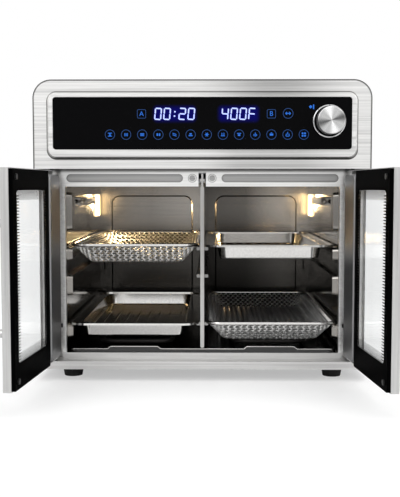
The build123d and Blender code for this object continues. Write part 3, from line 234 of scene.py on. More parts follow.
def plate(name, width, height, corner, depth):
    """Thin plate that faces the front, with cut corners."""
    piece = add_piece(name, bpy.ops.mesh.primitive_plane_add, size=1, rotation=UPRIGHT)
    piece.scale = (width, height, 1)
    with shaping(settle(piece)):
        bpy.ops.mesh.bevel(offset=corner, affect="VERTICES", segments=2)
    return thicken(piece, depth)


def ring(name, radius, width, depth, square=False):
    """Flat ring that faces the front; a square one has four cut corners."""
    if square:
        piece = add_piece(name, bpy.ops.mesh.primitive_plane_add, size=2 * radius, rotation=UPRIGHT)
    else:
        piece = add_piece(
            name, bpy.ops.mesh.primitive_circle_add, vertices=RING_SIDES, radius=radius, fill_type="NGON",
            rotation=UPRIGHT)
    with shaping(settle(piece)):
        if square:
            bpy.ops.mesh.bevel(offset=0.3 * radius, affect="VERTICES", segments=3)
            bpy.ops.mesh.select_all(action="SELECT")
        bpy.ops.mesh.inset(thickness=width, depth=0)
        bpy.ops.mesh.delete(type="FACE")
    return thicken(piece, depth)


def wire(name, runs, radius, roundness=0):
    """Round wires along the given runs of points, as one mesh."""
    curve = bpy.data.curves.new(name, "CURVE")
    curve.dimensions = "3D"
    curve.bevel_depth = radius
    curve.bevel_resolution = roundness
    curve.use_fill_caps = True
    for run in runs:
        spline = curve.splines.new("POLY")
        spline.points.add(len(run) - 1)
        spline.points.foreach_set("co", [value for point in run for value in (*point, 1.0)])
    piece = bpy.data.objects.new(name, curve)
    bpy.context.scene.collection.objects.link(piece)
    pick(piece)
    bpy.ops.object.convert(target="MESH")
    piece = bpy.context.object
    bpy.ops.object.shade_smooth_by_angle(angle=SMOOTH_ANGLE)
    return settle(piece)


def dress(piece, material, body):
    """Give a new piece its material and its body."""
    piece.data.materials.clear()
    piece.data.materials.append(material)
    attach(piece, body)


def paint(material, *names):
    """Give CAD nodes a material."""
    for name in names:
        node = nodes[name]
        node.data.materials.clear()
        node.data.materials.append(material)


def feed(tree, socket, value):
    """Set a socket to a value or link it to another socket."""
    if isinstance(value, bpy.types.NodeSocket):
        tree.links.new(value, socket)
    else:
        socket.default_value = value


def add_node(tree, kind, sockets, **settings):
    """Add a shader node with its settings and its fed sockets; returns its outputs."""
    node = tree.nodes.new(f"ShaderNode{kind}")
    for label, value in settings.items():
        setattr(node, label, value)
    for label, value in sockets.items():
        feed(tree, node.inputs[label], value)
    return node.outputs


def calc(tree, operation, *values):
    """Result of a math operation on numbers or sockets."""
    return add_node(tree, "Math", dict(enumerate(values)), operation=operation)["Value"]


def vector_calc(tree, operation, *values):
    """Result of a math operation on vectors or sockets."""
    return add_node(tree, "VectorMath", dict(enumerate(values)), operation=operation)["Vector"]


def scaled(tree, colour, share):
    """Colour scaled by a share that changes over the surface."""
    return add_node(tree, "VectorMath", {0: colour, "Scale": share}, operation="SCALE")["Vector"]


def length_of(tree, vector):
    """Length of a vector."""
    return add_node(tree, "VectorMath", {0: vector}, operation="LENGTH")["Value"]


def remap(tree, value, start, end, low=0.0, high=1.0, **settings):
    """Value carried over from the range of start and end to the range of low and high."""
    sockets = {"Value": value, "From Min": start, "From Max": end, "To Min": low, "To Max": high}
    return add_node(tree, "MapRange", sockets, **settings)["Result"]


def blend(tree, share, first, second, **settings):
    """Mix of two numbers or colours by a share of the second."""
    return add_node(tree, "Mix", {"Factor": share, "A": first, "B": second}, **settings)["Result"]


def ramp(tree, value, steps):
    """Tone that follows a value through steps of place and tone, each a grey or a colour."""
    node = tree.nodes.new("ShaderNodeValToRGB")
    points = node.color_ramp.elements
    for number, (place, tone) in enumerate(steps):
        point = points[number] if number < len(points) else points.new(place)
        point.position = place
        point.color = (*tone, 1) if isinstance(tone, tuple) else (tone, tone, tone, 1)
    feed(tree, node.inputs["Fac"], value)
    return node.outputs["Color"]


def read_place(tree):
    """Place of a surface point on its own object."""
    return add_node(tree, "TexCoord", {})["Object"]


def read_axis(tree, source, axis):
    """One axis of a texture coordinate, such as Object or Normal."""
    return add_node(tree, "SeparateXYZ", {0: add_node(tree, "TexCoord", {})[source]})[axis]


def facing_front(tree):
    """How far a surface faces the front, from 1 to -1."""
    return calc(tree, "MULTIPLY", read_axis(tree, "Normal", "Y"), -1.0)


def share_along(tree, axis, start, length):
    """Share of the way along an axis, from a start over a length."""
    return calc(tree, "DIVIDE", calc(tree, "SUBTRACT", read_axis(tree, "Object", axis), start), length)


def read_rays(tree):
    """Kinds of ray, and a mask of what the camera sees, also through glass."""
    rays = add_node(tree, "LightPath", {})
    return rays, calc(tree, "MAXIMUM", rays["Is Camera Ray"], rays["Is Transmission Ray"])


def shared_group(name, inputs, outputs):
    """New shader group with named defaults; returns it with the sockets that it is given and gives."""
    tree = bpy.data.node_groups.new(name, "ShaderNodeTree")
    for label, default in inputs.items():
        kind = "NodeSocketVector" if isinstance(default, tuple) else "NodeSocketFloat"
        socket = tree.interface.new_socket(name=label, in_out="INPUT", socket_type=kind)
        socket.default_value = default
    for label in outputs:
        tree.interface.new_socket(name=label, in_out="OUTPUT", socket_type="NodeSocketFloat")
    return tree, tree.nodes.new("NodeGroupInput").outputs, tree.nodes.new("NodeGroupOutput").inputs


def brushed_lines_group():
    """Fine parallel scratches along the axis with the smallest stretch, with broad smudges over them."""
    defaults = {"Stretch": (8, 500, 500), "Low": 0.25, "High": 0.4, "Smudge": 0.06, "Streak": 0.1}
    tree, given, made = shared_group("brushed_lines", defaults, ("Roughness", "Height", "Tone"))
    place = read_place(tree)
    stretched = vector_calc(tree, "MULTIPLY", place, given["Stretch"])
    lines = add_node(
        tree, "TexNoise", {"Vector": stretched, "Scale": 1.0, "Detail": 5.0, "Roughness": 0.62})["Fac"]
    blotch = add_node(tree, "TexNoise", {"Vector": place, "Scale": 11.0, "Detail": 2.0})["Fac"]
    smear = calc(tree, "MULTIPLY", blotch, given["Smudge"])
    gloss = remap(tree, lines, 0.3, 0.7, given["Low"], given["High"])
    darkest = calc(tree, "SUBTRACT", 1.0, given["Streak"])
    feed(tree, made["Roughness"], calc(tree, "ADD", gloss, smear))
    feed(tree, made["Height"], lines)
    feed(tree, made["Tone"], remap(tree, lines, 0.3, 0.6, darkest, 1.05))
    return tree


def fine_grain_group():
    """Even fine grain for moulded, cast, painted and sheet surfaces."""
    tree, given, made = shared_group(
        "fine_grain", {"Size": 900.0, "Low": 0.4, "High": 0.6}, ("Roughness", "Height"))
    sockets = {"Vector": read_place(tree), "Scale": given["Size"], "Detail": 3.0}
    grain = add_node(tree, "TexNoise", sockets)["Fac"]
    feed(tree, made["Roughness"], remap(tree, grain, 0.3, 0.7, given["Low"], given["High"]))
    feed(tree, made["Height"], grain)
    return tree


def soft_patch_group():
    """Mask that is 1 inside a box of given middle and half size, and fades out over a reach."""
    tree, given, made = shared_group(
        "soft_patch", {"Middle": (0, 0, 0), "Half": (1, 1, 1), "Reach": 0.01}, ("Mask",))
    offset = vector_calc(tree, "SUBTRACT", read_place(tree), given["Middle"])
    past = vector_calc(tree, "SUBTRACT", vector_calc(tree, "ABSOLUTE", offset), given["Half"])
    outside = length_of(tree, vector_calc(tree, "MAXIMUM", past, (0, 0, 0)))
    fade = remap(tree, outside, 0.0, given["Reach"], 1.0, 0.0, interpolation_type="SMOOTHSTEP")
    feed(tree, made["Mask"], fade)
    return tree


GROUPS = {
    "brushed_lines": brushed_lines_group,
    "fine_grain": fine_grain_group,
    "soft_patch": soft_patch_group,
}


def place_group(material, name, **values):
    """Put a shared group into a material with its own values, building the group the first time."""
    holder = material.node_tree.nodes.new("ShaderNodeGroup")
    holder.node_tree = bpy.data.node_groups.get(name) or GROUPS[name]()
    for label, value in values.items():
        holder.inputs[label].default_value = value
    return holder.outputs


def finish(material, **sockets):
    """Set or link sockets of a material's shader, whose names have _ for a space here."""
    shader = material.node_tree.nodes["Principled BSDF"]
    for label, value in sockets.items():
        feed(material.node_tree, shader.inputs[label.replace("_", " ")], value)
    return material


def plain_finish(name, colour, roughness, metallic=0.0, **sockets):
    """Even material with a Principled shader."""
    material = bpy.data.materials.new(name)
    material.use_nodes = True
    return finish(material, Base_Color=(*colour, 1.0), Roughness=roughness, Metallic=metallic, **sockets)


def bump(material, height, strength, distance):
    """Feed a height into the normal of a material's shader."""
    sockets = {"Strength": strength, "Distance": distance, "Height": height}
    return finish(material, Normal=add_node(material.node_tree, "Bump", sockets)["Normal"])


def brushed_steel(name, colour, stretch, low, high, smudge=0.06, relief=0.06, streak=0.12):
    """Steel with brush lines: the stretch is small along the lines and large across them."""
    material = plain_finish(name, colour, low, 1.0)
    lines = place_group(
        material, "brushed_lines", Stretch=stretch, Low=low, High=high, Smudge=smudge, Streak=streak)
    tone = scaled(material.node_tree, colour, lines["Tone"])
    finish(material, Base_Color=tone, Roughness=lines["Roughness"])
    return bump(material, lines["Height"], relief, BRUSH_DEPTH)


def grained(name, colour, size, low, high, metallic=0.0, relief=0.08, **sockets):
    """Moulded, painted or plain sheet surface with an even grain."""
    material = plain_finish(name, colour, low, metallic, **sockets)
    grain = place_group(material, "fine_grain", Size=size, Low=low, High=high)
    finish(material, Roughness=grain["Roughness"])
    return bump(material, grain["Height"], relief, GRAIN_DEPTH)


def paint_grained(rows):
    """Paint from rows of finish, colour, grain size, roughness from and to, metallic and nodes."""
    for name, colour, size, low, high, metallic, *wearers in rows:
        paint(grained(name, colour, size, low, high, metallic), *wearers)


def filmed(material, size, low, high):
    """Glass with a faint film of dust in its gloss."""
    film = place_group(material, "fine_grain", Size=size, Low=low, High=high)
    return finish(material, Roughness=film["Roughness"])


def lit(name, colour, strength=1.0):
    """Lit mark that shows in its own colour."""
    return plain_finish(name, (0, 0, 0), 0.4, Emission_Color=(*colour, 1.0), Emission_Strength=strength)


def patch(material, middle, half, reach):
    """Mask of a soft patch on a material."""
    return place_group(material, "soft_patch", Middle=middle, Half=half, Reach=reach)["Mask"]


def tint(material, value, *steps):
    """Scale a material's colour by a tone that follows a value through steps of place and tone."""
    tree = material.node_tree
    base = tree.nodes["Principled BSDF"].inputs["Base Color"].links[0].from_socket
    finish(material, Base_Color=vector_calc(tree, "MULTIPLY", base, ramp(tree, value, steps)))


class OVEN_OT_housing(bpy.types.Operator):
    """Finish the housing, frame, feet and rear"""

    bl_idname = "oven.housing"
    bl_label = "Housing"

    GRAINED = (
        ("galvanised_sheet", (0.46, 0.47, 0.48), 160.0, 0.35, 0.55, 1.0, "rear_cover", "base_pan",
         "cavity_brackets", "hinge_plates", "divider_guide", "lamp_units", "fan_shrouds"),
        ("foot_rubber", (0.012, 0.012, 0.012), 1400.0, 0.6, 0.8, 0.0, "rubber_feet", "door_bumpers"),
        ("black_moulding", (0.015, 0.015, 0.016), 1100.0, 0.45, 0.6, 0.0, "cord_gland", "encoder_body"),
        ("screw_steel", (0.50, 0.50, 0.50), 800.0, 0.25, 0.4, 1.0, "housing_screws"),
        ("pin_black", (0.02, 0.02, 0.02), 800.0, 0.35, 0.5, 0.5, "hinge_pins"),
    )
    # Long brush lines across the front, and shorter ones on the frame
    LONG_LINES = (4, 420, 420)
    FRAME_LINES = (9, 380, 380)
    # Half size of a patch that is round from the front
    ROUND = (0, 1.0, 0)
    # Reach of the painted shade at the pressed edge round a pill or disc, as a share of its radius
    PRESS_REACH = 1.3

    def execute(self, context):
        tones = context.scene.oven_finish
        size = context.scene.oven_frame
        self.fascia(tones, size)
        self.wrap(tones)
        self.front_frame(size)
        self.magnets()
        paint_grained(self.GRAINED)
        return {"FINISHED"}

    def latch(self):
        """Middles of the left and right latch disc, and their radius."""
        low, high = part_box("latch_magnets")
        radius = (high.z - low.z) / 2
        height = (low.z + high.z) / 2
        return [(side * (high.x - radius), low.y, height) for side in (-1, 1)], radius

    def magnets(self):
        """Latch magnets: grey cores, each in a painted bright ring of highlight with a painted dark outline
        at its rim.
        """
        steel = brushed_steel("magnet_plate", BRIGHT_STEEL, self.FRAME_LINES, 0.22, 0.30)
        middles, radius = self.latch()
        discs = [patch(steel, middle, self.ROUND, radius) for middle in middles]
        either = calc(steel.node_tree, "MAXIMUM", *discs)
        # Painted shade at each disc's rim and a painted highlight in a ring just inside it, round a grey
        # core
        tint(steel, either, (0.0, 0.3), (0.004, 1.0), (0.09, 1.0), (0.13, 0.45))
        paint(steel, "latch_magnets")

    def fascia(self, tones, size):
        """Brushed front with painted shade where its pressed bezel and its hem turn down, along its outer
        edge, round the bezel and in soft patches, with the sill below.
        """
        steel = brushed_steel(
            "fascia_steel", tones.steel, self.LONG_LINES, 0.26, 0.38, relief=0.03, streak=0.26)
        tree = steel.node_tree
        # Painted shade on the faces that turn down, under the bezel and the hem
        turned = calc(tree, "MULTIPLY_ADD", read_axis(tree, "Normal", "Z"), 0.5, 0.5)
        tint(steel, turned, (0.1, 0.32), (0.40, 0.58), (0.49, 1.0))
        low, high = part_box("front_fascia")
        # Painted shade in a dark line along the outer edge: it runs round the front but not over the hem,
        # and is open at the bottom
        edge = self.inside(steel, (low.x, 2 * low.z - high.z), (high.x, high.z), size.corner)
        hem = calc(tree, "ADD", read_axis(tree, "Normal", "Y"), 0.8)
        tint(steel, calc(tree, "MAXIMUM", edge, hem), (0.003, 0.10), (0.008, 0.25), (0.022, 1.0))
        # Painted shade in a dark band just inside the bezel's pressed edge
        bezel = self.inside(
            steel, (low.x + size.bezel_side, low.z + size.bezel_bottom),
            (high.x - size.bezel_side, high.z - size.bezel_top), size.bezel_corner)
        tint(steel, bezel, (0.0, 1.0), (0.003, 0.30), (0.045, 0.36), (0.075, 1.0))
        # Painted shades on the front: x, z, half width, reach and tone
        painted_shades = ((0.087, high.z - 0.01, 0.004, 0.10, 0.60), (0.08, low.z, 0.03, 0.06, 0.74))
        for x, z, half, reach, tone in painted_shades:
            dim = patch(steel, (x, low.y, z), (half, 1.0, 0.001), reach)
            tint(steel, dim, (0.0, 1.0), (1.0, tone))
        paint(steel, "front_fascia")
        sill_tone = (0.80, 0.795, 0.785)
        sill = brushed_steel("sill_steel", sill_tone, self.LONG_LINES, 0.26, 0.38, relief=0.03, streak=0.2)
        paint(sill, "bottom_sill")

    def inside(self, steel, low, high, corner):
        """Mask of a rectangle with round corners, that falls to 0 at its edge."""
        middle = ((low[0] + high[0]) / 2, 0.0, (low[1] + high[1]) / 2)
        half = ((high[0] - low[0]) / 2 - corner, 1.0, (high[1] - low[1]) / 2 - corner)
        return patch(steel, middle, half, corner)

    def wrap(self, tones):
        """Brushed sides and top, with painted shade making the cut edge of the sheet dark at the front."""
        steel = brushed_steel("wrap_steel", tones.wrap, (420, 7, 420), 0.28, 0.42)
        # Painted shade on the faces that look to the front, the sheet's cut edge
        tint(steel, facing_front(steel.node_tree), (0.45, 1.0), (0.85, 0.08))
        paint(steel, "outer_wrap")

    def front_frame(self, size):
        """Bright frame with painted shade in its pressed pills and in rings round its latch discs, and a
        painted shadow in a line under the fascia.
        """
        steel = brushed_steel("frame_steel", BRIGHT_STEEL, self.FRAME_LINES, 0.28, 0.36, relief=0.012)
        middles, radius = self.latch()
        pill_half = ((size.pill_end - size.pill_start) / 2 - size.pill_radius, 1.0, 0.0)
        for side, (disc_x, front, height) in zip((-1, 1), middles):
            pill_middle = (side * (size.pill_start + size.pill_end) / 2, front, height)
            pill = patch(steel, pill_middle, pill_half, self.PRESS_REACH * size.pill_radius)
            # Painted shade in each pressed pill: a dark line at its edge and a grey inside
            tint(steel, pill, (0.11, 1.0), (0.15, 0.18), (0.30, 0.36), (0.9, 0.46))
            disc = patch(steel, (disc_x, front, height), self.ROUND, self.PRESS_REACH * radius)
            # Painted shade in a dark ring round each latch disc
            tint(steel, disc, (0.03, 1.0), (0.08, 0.30), (0.14, 0.30), (0.20, 1.0))
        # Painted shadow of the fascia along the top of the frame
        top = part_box("front_fascia")[0].z
        shade = share_along(steel.node_tree, "Z", top - size.shade_depth, size.shade_depth)
        tint(steel, shade, (0.0, 1.0), (0.35, 0.75), (0.55, 0.30), (1.0, 0.16))
        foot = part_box("front_frame")[0].z
        rail = patch(steel, (0, front, foot), (1.0, 1.0, size.bottom_rail), 0.001)
        tint(steel, rail, (0.0, 1.0), (1.0, 0.72))
        paint(steel, "front_frame")


class OVEN_OT_cavity(bpy.types.Operator):
    """Finish the cavity, its heat and air, and its lamps"""

    bl_idname = "oven.cavity"
    bl_label = "Cavity"

    GRAINED = (
        ("bright_fittings", (0.62, 0.61, 0.59), 500.0, 0.12, 0.22, 1.0, "probe_guards",
         "temperature_probes"),
        ("guard_steel", (0.50, 0.49, 0.47), 400.0, 0.2, 0.35, 1.0, "fan_guards"),
        ("heater_oxide", (0.06, 0.057, 0.055), 600.0, 0.4, 0.6, 0.6, "upper_heaters", "lower_heaters"),
        ("fan_sheet", (0.55, 0.55, 0.56), 420.0, 0.3, 0.45, 1.0, "left_fan", "right_fan"),
        ("motor_paint", (0.10, 0.10, 0.11), 700.0, 0.4, 0.55, 0.0, "fan_motors"),
        ("board_green", (0.02, 0.11, 0.05), 900.0, 0.35, 0.55, 0.0, "display_board", "power_board"),
    )
    # The painted shade on the back wall begins to clear this far under the basket's rim, and clears over a
    # height
    SHADE_DROP = 0.012
    SHADE_FADE = 0.03
    # Half the thickness of the divider's front edge, painted brighter as a highlight, and how softly it
    # ends
    EDGE_HALF = 0.0022
    EDGE_REACH = 0.0004

    def execute(self, context):
        tones = context.scene.oven_finish
        walls = brushed_steel("cavity_polish", tones.polished, (420, 6, 420), 0.06, 0.12, 0.05, 0.008)
        paint(walls, "cavity_left_wall", "cavity_right_wall", "cavity_floor", "cavity_ceiling")
        self.back_wall()
        self.divider()
        paint_grained(self.GRAINED)
        lens = grained(
            "lamp_lens", (1.0, 0.86, 0.66), 350.0, 0.2, 0.4, Emission_Color=(*tones.lamp, 1.0),
            Emission_Strength=3.0)
        paint(lens, "lamp_lenses")
        return {"FINISHED"}

    def back_wall(self):
        """Polished back, with painted shade below the upper trays and towards the divider in the right
        zone.
        """
        steel = brushed_steel("back_polish", (0.56, 0.53, 0.49), (6, 700, 700), 0.14, 0.20, relief=0.006)
        tree = steel.node_tree
        low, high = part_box("cavity_back_wall")
        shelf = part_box("left_basket_rim")[0].z
        # Painted shade below the upper trays, where they keep the lamps' light off the wall
        rise = share_along(tree, "Z", shelf - self.SHADE_DROP, self.SHADE_FADE)
        tint(steel, rise, (0.0, 0.16), (1.0, 1.0))
        # Painted light and shade across the wall: lighter towards the divider in the left zone, darkest
        # beside it in the right zone and lighter again towards the right side
        across = share_along(tree, "X", low.x, high.x - low.x)
        tint(steel, across, (0.0, 0.60), (0.25, 0.55), (0.46, 0.85), (0.50, 0.85), (0.505, 0.22),
             (0.70, 0.30), (0.88, 0.95))
        paint(steel, "cavity_back_wall")

    def divider(self):
        """Sheet with a painted highlight that makes its front edge brighter than its duller sides."""
        steel = brushed_steel("divider_steel", (0.88, 0.87, 0.85), (260, 260, 6), 0.10, 0.18)
        tree = steel.node_tree
        edge = patch(steel, (0, 0, 0), (self.EDGE_HALF, 1.0, 1.0), self.EDGE_REACH)
        # Painted highlight: the front edge is lighter than the sides
        tint(steel, calc(tree, "MULTIPLY", facing_front(tree), edge), (0.35, 0.36), (0.8, 0.62))
        paint(steel, "divider")


class OVEN_OT_doors(bpy.types.Operator):
    """Finish the doors and print the ticked border of their windows"""

    bl_idname = "oven.doors"
    bl_label = "Doors"

    # Left window with its door closed: its two sides, and the face of its inner glass with the print
    WINDOW_OUTER = -0.1218
    WINDOW_INNER = -0.0142
    WINDOW_FACE = -0.18738
    PRINT_DEPTH = 0.00005
    # Width of a tick's tip as a share of its foot
    TIP_SHARE = 0.35

    def execute(self, context):
        tones = context.scene.oven_finish
        shell = brushed_steel("door_steel", (0.62, 0.617, 0.61), (420, 420, 8), 0.24, 0.36, relief=0.02)
        cover = brushed_steel("cover_steel", (0.30, 0.30, 0.305), (420, 420, 6), 0.36, 0.46, relief=0.012)
        black = grained(
            "door_enamel", tones.enamel, 700.0, 0.30, 0.42, relief=0.05, Specular_IOR_Level=0.002)
        pane = plain_finish("door_pane", (0.975, 0.98, 0.98), 0.02, Transmission_Weight=1.0, IOR=1.08)
        filmed(pane, 40.0, 0.02, 0.04)
        screw = grained("door_screw_black", (0.03, 0.03, 0.03), 800.0, 0.3, 0.45, 0.6)
        border = grained("border_print", (0.006, 0.006, 0.006), 900.0, 0.4, 0.55)
        for hand in ("left", "right"):
            paint(shell, f"{hand}_door_shell", f"{hand}_door_handle")
            paint(cover, f"{hand}_door_hinge_cover")
            paint(black, f"{hand}_door_panel")
            paint(pane, f"{hand}_door_glass", f"{hand}_door_inner_glass")
            paint(screw, f"{hand}_door_screws")
        left = self.border(context.scene.oven_doors)
        right = copy_part(left)
        right.matrix_world = Matrix.Scale(-1, 4, (1, 0, 0))
        right.name = "right_window_border"
        with shaping(settle(right)):
            bpy.ops.mesh.flip_normals()
        dress(left, border, "left_door")
        dress(right, border, "right_door")
        return {"FINISHED"}

    def tick(self, size):
        """Pointed tick that stands up from its foot at the origin."""
        tick = plate("tick", size.tick_width, size.tick_length, size.tick_width * 0.1, self.PRINT_DEPTH)
        tick.location.z = size.tick_length / 2
        with shaping(settle(tick)):
            bpy.ops.mesh.select_all(action="DESELECT")
        for corner in tick.data.vertices:
            corner.select = corner.co.z > size.tick_length / 2
        bpy.ops.object.mode_set(mode="EDIT")
        bpy.ops.transform.resize(value=(self.TIP_SHARE, 1, 1), center_override=(0, 0, 0))
        bpy.ops.object.mode_set(mode="OBJECT")
        return tick

    def border(self, size):
        """Comb of ticks round the left window, drawn closed and swung open with the door."""
        low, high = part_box("left_door_inner_glass")
        left, right, bottom, top = self.WINDOW_OUTER, self.WINDOW_INNER, low.z, high.z
        # Start of a row, its way along and up, its length and the turn of its ticks
        rows = (
            ((left, bottom), (1, 0), right - left, 0.0),
            ((left, top), (1, 0), right - left, 180.0),
            ((left, bottom), (0, 1), top - bottom, 90.0),
            ((right, bottom), (0, 1), top - bottom, -90.0),
        )
        parts = []
        for (x, z), (along, up), length, turn in rows:
            tick = self.tick(size)
            tick.rotation_euler = (0, math.radians(turn), 0)
            tick.location = (x + along * size.tick_pitch, self.WINDOW_FACE, z + up * size.tick_pitch)
            settle(tick)
            row = tick.modifiers.new("row", "ARRAY")
            row.count = int(length / size.tick_pitch) - 1
            row.use_relative_offset = False
            row.use_constant_offset = True
            row.constant_offset_displace = (along * size.tick_pitch, 0, up * size.tick_pitch)
            bpy.ops.object.modifier_apply(modifier=row.name)
            parts.append(tick)
        comb = join("left_window_border", parts)
        comb.matrix_world = (
            Matrix.Translation((HINGE.x, HINGE.y, 0))
            @ Matrix.Rotation(-SWING, 4, "Z")
            @ Matrix.Translation((-HINGE.x, -HINGE.y, 0)))
        return settle(comb)


class OVEN_OT_ware(bpy.types.Operator):
    """Finish the pans, rims and crumb tray, and give the crumb tray its bright hem"""

    bl_idname = "oven.ware"
    bl_label = "Pans and crumb tray"

    # Front of the crumb tray: height of its low lip, and the raised tongue in each zone
    LIP_HEIGHT = 0.004
    TONGUE_MIDDLE = 0.0835
    TONGUE_FOOT = 0.0325
    TONGUE_TOP = 0.0288
    HEM_INSET = 0.006
    HEM_RADIUS = 0.0006
    # The painted warm reflection inside a pan is set down from its rim, and ends softly
    RIM_DROP = 0.004
    BROWN_EDGE = 0.002
    BROWN = (0.40, 0.33, 0.24)

    def execute(self, context):
        tones = context.scene.oven_finish
        for node in ("left_pan", "right_pan"):
            self.pan(node, tones)
        paint(grained("rim_wire", tones.ware, 600.0, 0.12, 0.2, 1.0), "left_basket_rim", "right_basket_rim")
        paint(grained("crumb_dark", (0.07, 0.07, 0.07), 500.0, 0.14, 0.24, 1.0), "crumb_tray")
        self.hem()
        return {"FINISHED"}

    def hem(self):
        """Bright rolled edge along the crumb tray's front, up and down over its two tongues."""
        low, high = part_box("crumb_tray")
        front, lip, top = low.y, low.z + self.LIP_HEIGHT, high.z
        end = high.x - self.HEM_INSET
        run = [(-end, front, lip)]
        for middle in (-self.TONGUE_MIDDLE, self.TONGUE_MIDDLE):
            run += [(middle - self.TONGUE_FOOT, front, lip), (middle - self.TONGUE_TOP, front, top)]
            run += [(middle + self.TONGUE_TOP, front, top), (middle + self.TONGUE_FOOT, front, lip)]
        run.append((end, front, lip))
        bright = grained("hem_steel", (0.70, 0.69, 0.67), 500.0, 0.15, 0.25, 1.0)
        dress(wire("crumb_tray_hem", [run], self.HEM_RADIUS, 2), bright, "crumb_tray")

    def pan(self, node, tones):
        """Polished pan, tinted brown where its inside looks up, a painted warm reflection."""
        steel = brushed_steel(f"{node}_steel", tones.ware, (420, 6, 420), 0.06, 0.12, relief=0.02)
        tree = steel.node_tree
        low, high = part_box(node)
        up = ramp(tree, read_axis(tree, "Normal", "Z"), ((0.55, 0.0), (0.9, 1.0)))
        middle = (low + high) / 2 - Vector((0, 0, self.RIM_DROP))
        half = (1.0, 1.0, (high.z - low.z) / 2 - self.BROWN_EDGE)
        inside = patch(steel, middle, half, self.BROWN_EDGE)
        # Painted reflection: faces inside the pan that look up are tinted brown
        tint(steel, calc(tree, "MULTIPLY", up, inside), (0.0, 1.0), (1.0, self.BROWN))
        paint(steel, node)


class OVEN_OT_baskets(bpy.types.Operator):
    """Weave the two wire baskets over the shape of their solids"""

    bl_idname = "oven.baskets"
    bl_label = "Woven baskets"

    # Halvings in the search for a point's height on the wall
    SEARCH_STEPS = 14

    def execute(self, context):
        size = context.scene.oven_basket
        strand = grained("woven_wire", BRIGHT_STEEL, 900.0, 0.28, 0.42, 0.85)
        for hand in ("left", "right"):
            piece = self.weave(f"{hand}_basket_weave", f"{hand}_basket_mesh", size)
            dress(piece, strand, f"{hand}_basket")
            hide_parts(f"{hand}_basket_mesh")
        return {"FINISHED"}

    def weave(self, name, node, size):
        """Wires both ways over the tub, each passing over and under the ones it crosses."""
        low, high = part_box(node)
        middle = (low + high) / 2
        half = ((high.x - low.x) / 2, (high.y - low.y) / 2)
        depth = high.z - low.z - 2 * size.wire_radius
        base = low.z + size.wire_radius

        def level(x, y):
            """Share of the depth at which the tub's outline passes a point, or above 1 outside the rim."""
            below, above = 0.0, 1.2
            for _ in range(self.SEARCH_STEPS):
                share = (below + above) / 2
                corner = size.floor_corner + share * (size.rim_corner - size.floor_corner)
                lean = size.slope * (1 - share)
                over_x = max(abs(x) - (half[0] - lean - corner), 0.0)
                over_y = max(abs(y) - (half[1] - lean - corner), 0.0)
                if math.hypot(over_x, over_y) > corner:
                    below = share
                else:
                    above = share
            return above if above > 0.001 else 0.0

        def press(flat, reach):
            """Place of a flat mesh point on the tub: past the floor's edge the wall takes up the length."""
            edge = reach - size.slope
            past = max(abs(flat) - edge, 0.0) * size.slope / math.hypot(size.slope, depth)
            return math.copysign(min(abs(flat), edge) + past, flat)

        def strand(number, way):
            """One wire on the bias of the mesh: its number across and its way, 1 or -1."""
            runs, run = [], []
            across = number * size.pitch
            for step in range(-count, count + 1):
                travel = step * size.pitch / 2
                flat = ((travel - way * across) * math.sqrt(0.5), (way * travel + across) * math.sqrt(0.5))
                point = [press(value, reach) for value, reach in zip(flat, half)]
                share = level(*point)
                if share > 1.0:
                    runs.append(run)
                    run = []
                    continue
                shift = way * math.cos(math.pi * (step / 2 + number)) * size.wire_radius
                run.append((middle.x + point[0], middle.y + point[1], base + share * depth + shift))
            runs.append(run)
            return [run for run in runs if len(run) > 2]

        wall = math.hypot(size.slope, depth) - size.slope
        count = int(2 * math.hypot(half[0] + wall, half[1] + wall) / size.pitch)
        runs = []
        for way in (1, -1):
            for number in range(-count // 2, count // 2 + 1):
                runs += strand(number, way)
        return wire(name, runs, size.wire_radius)


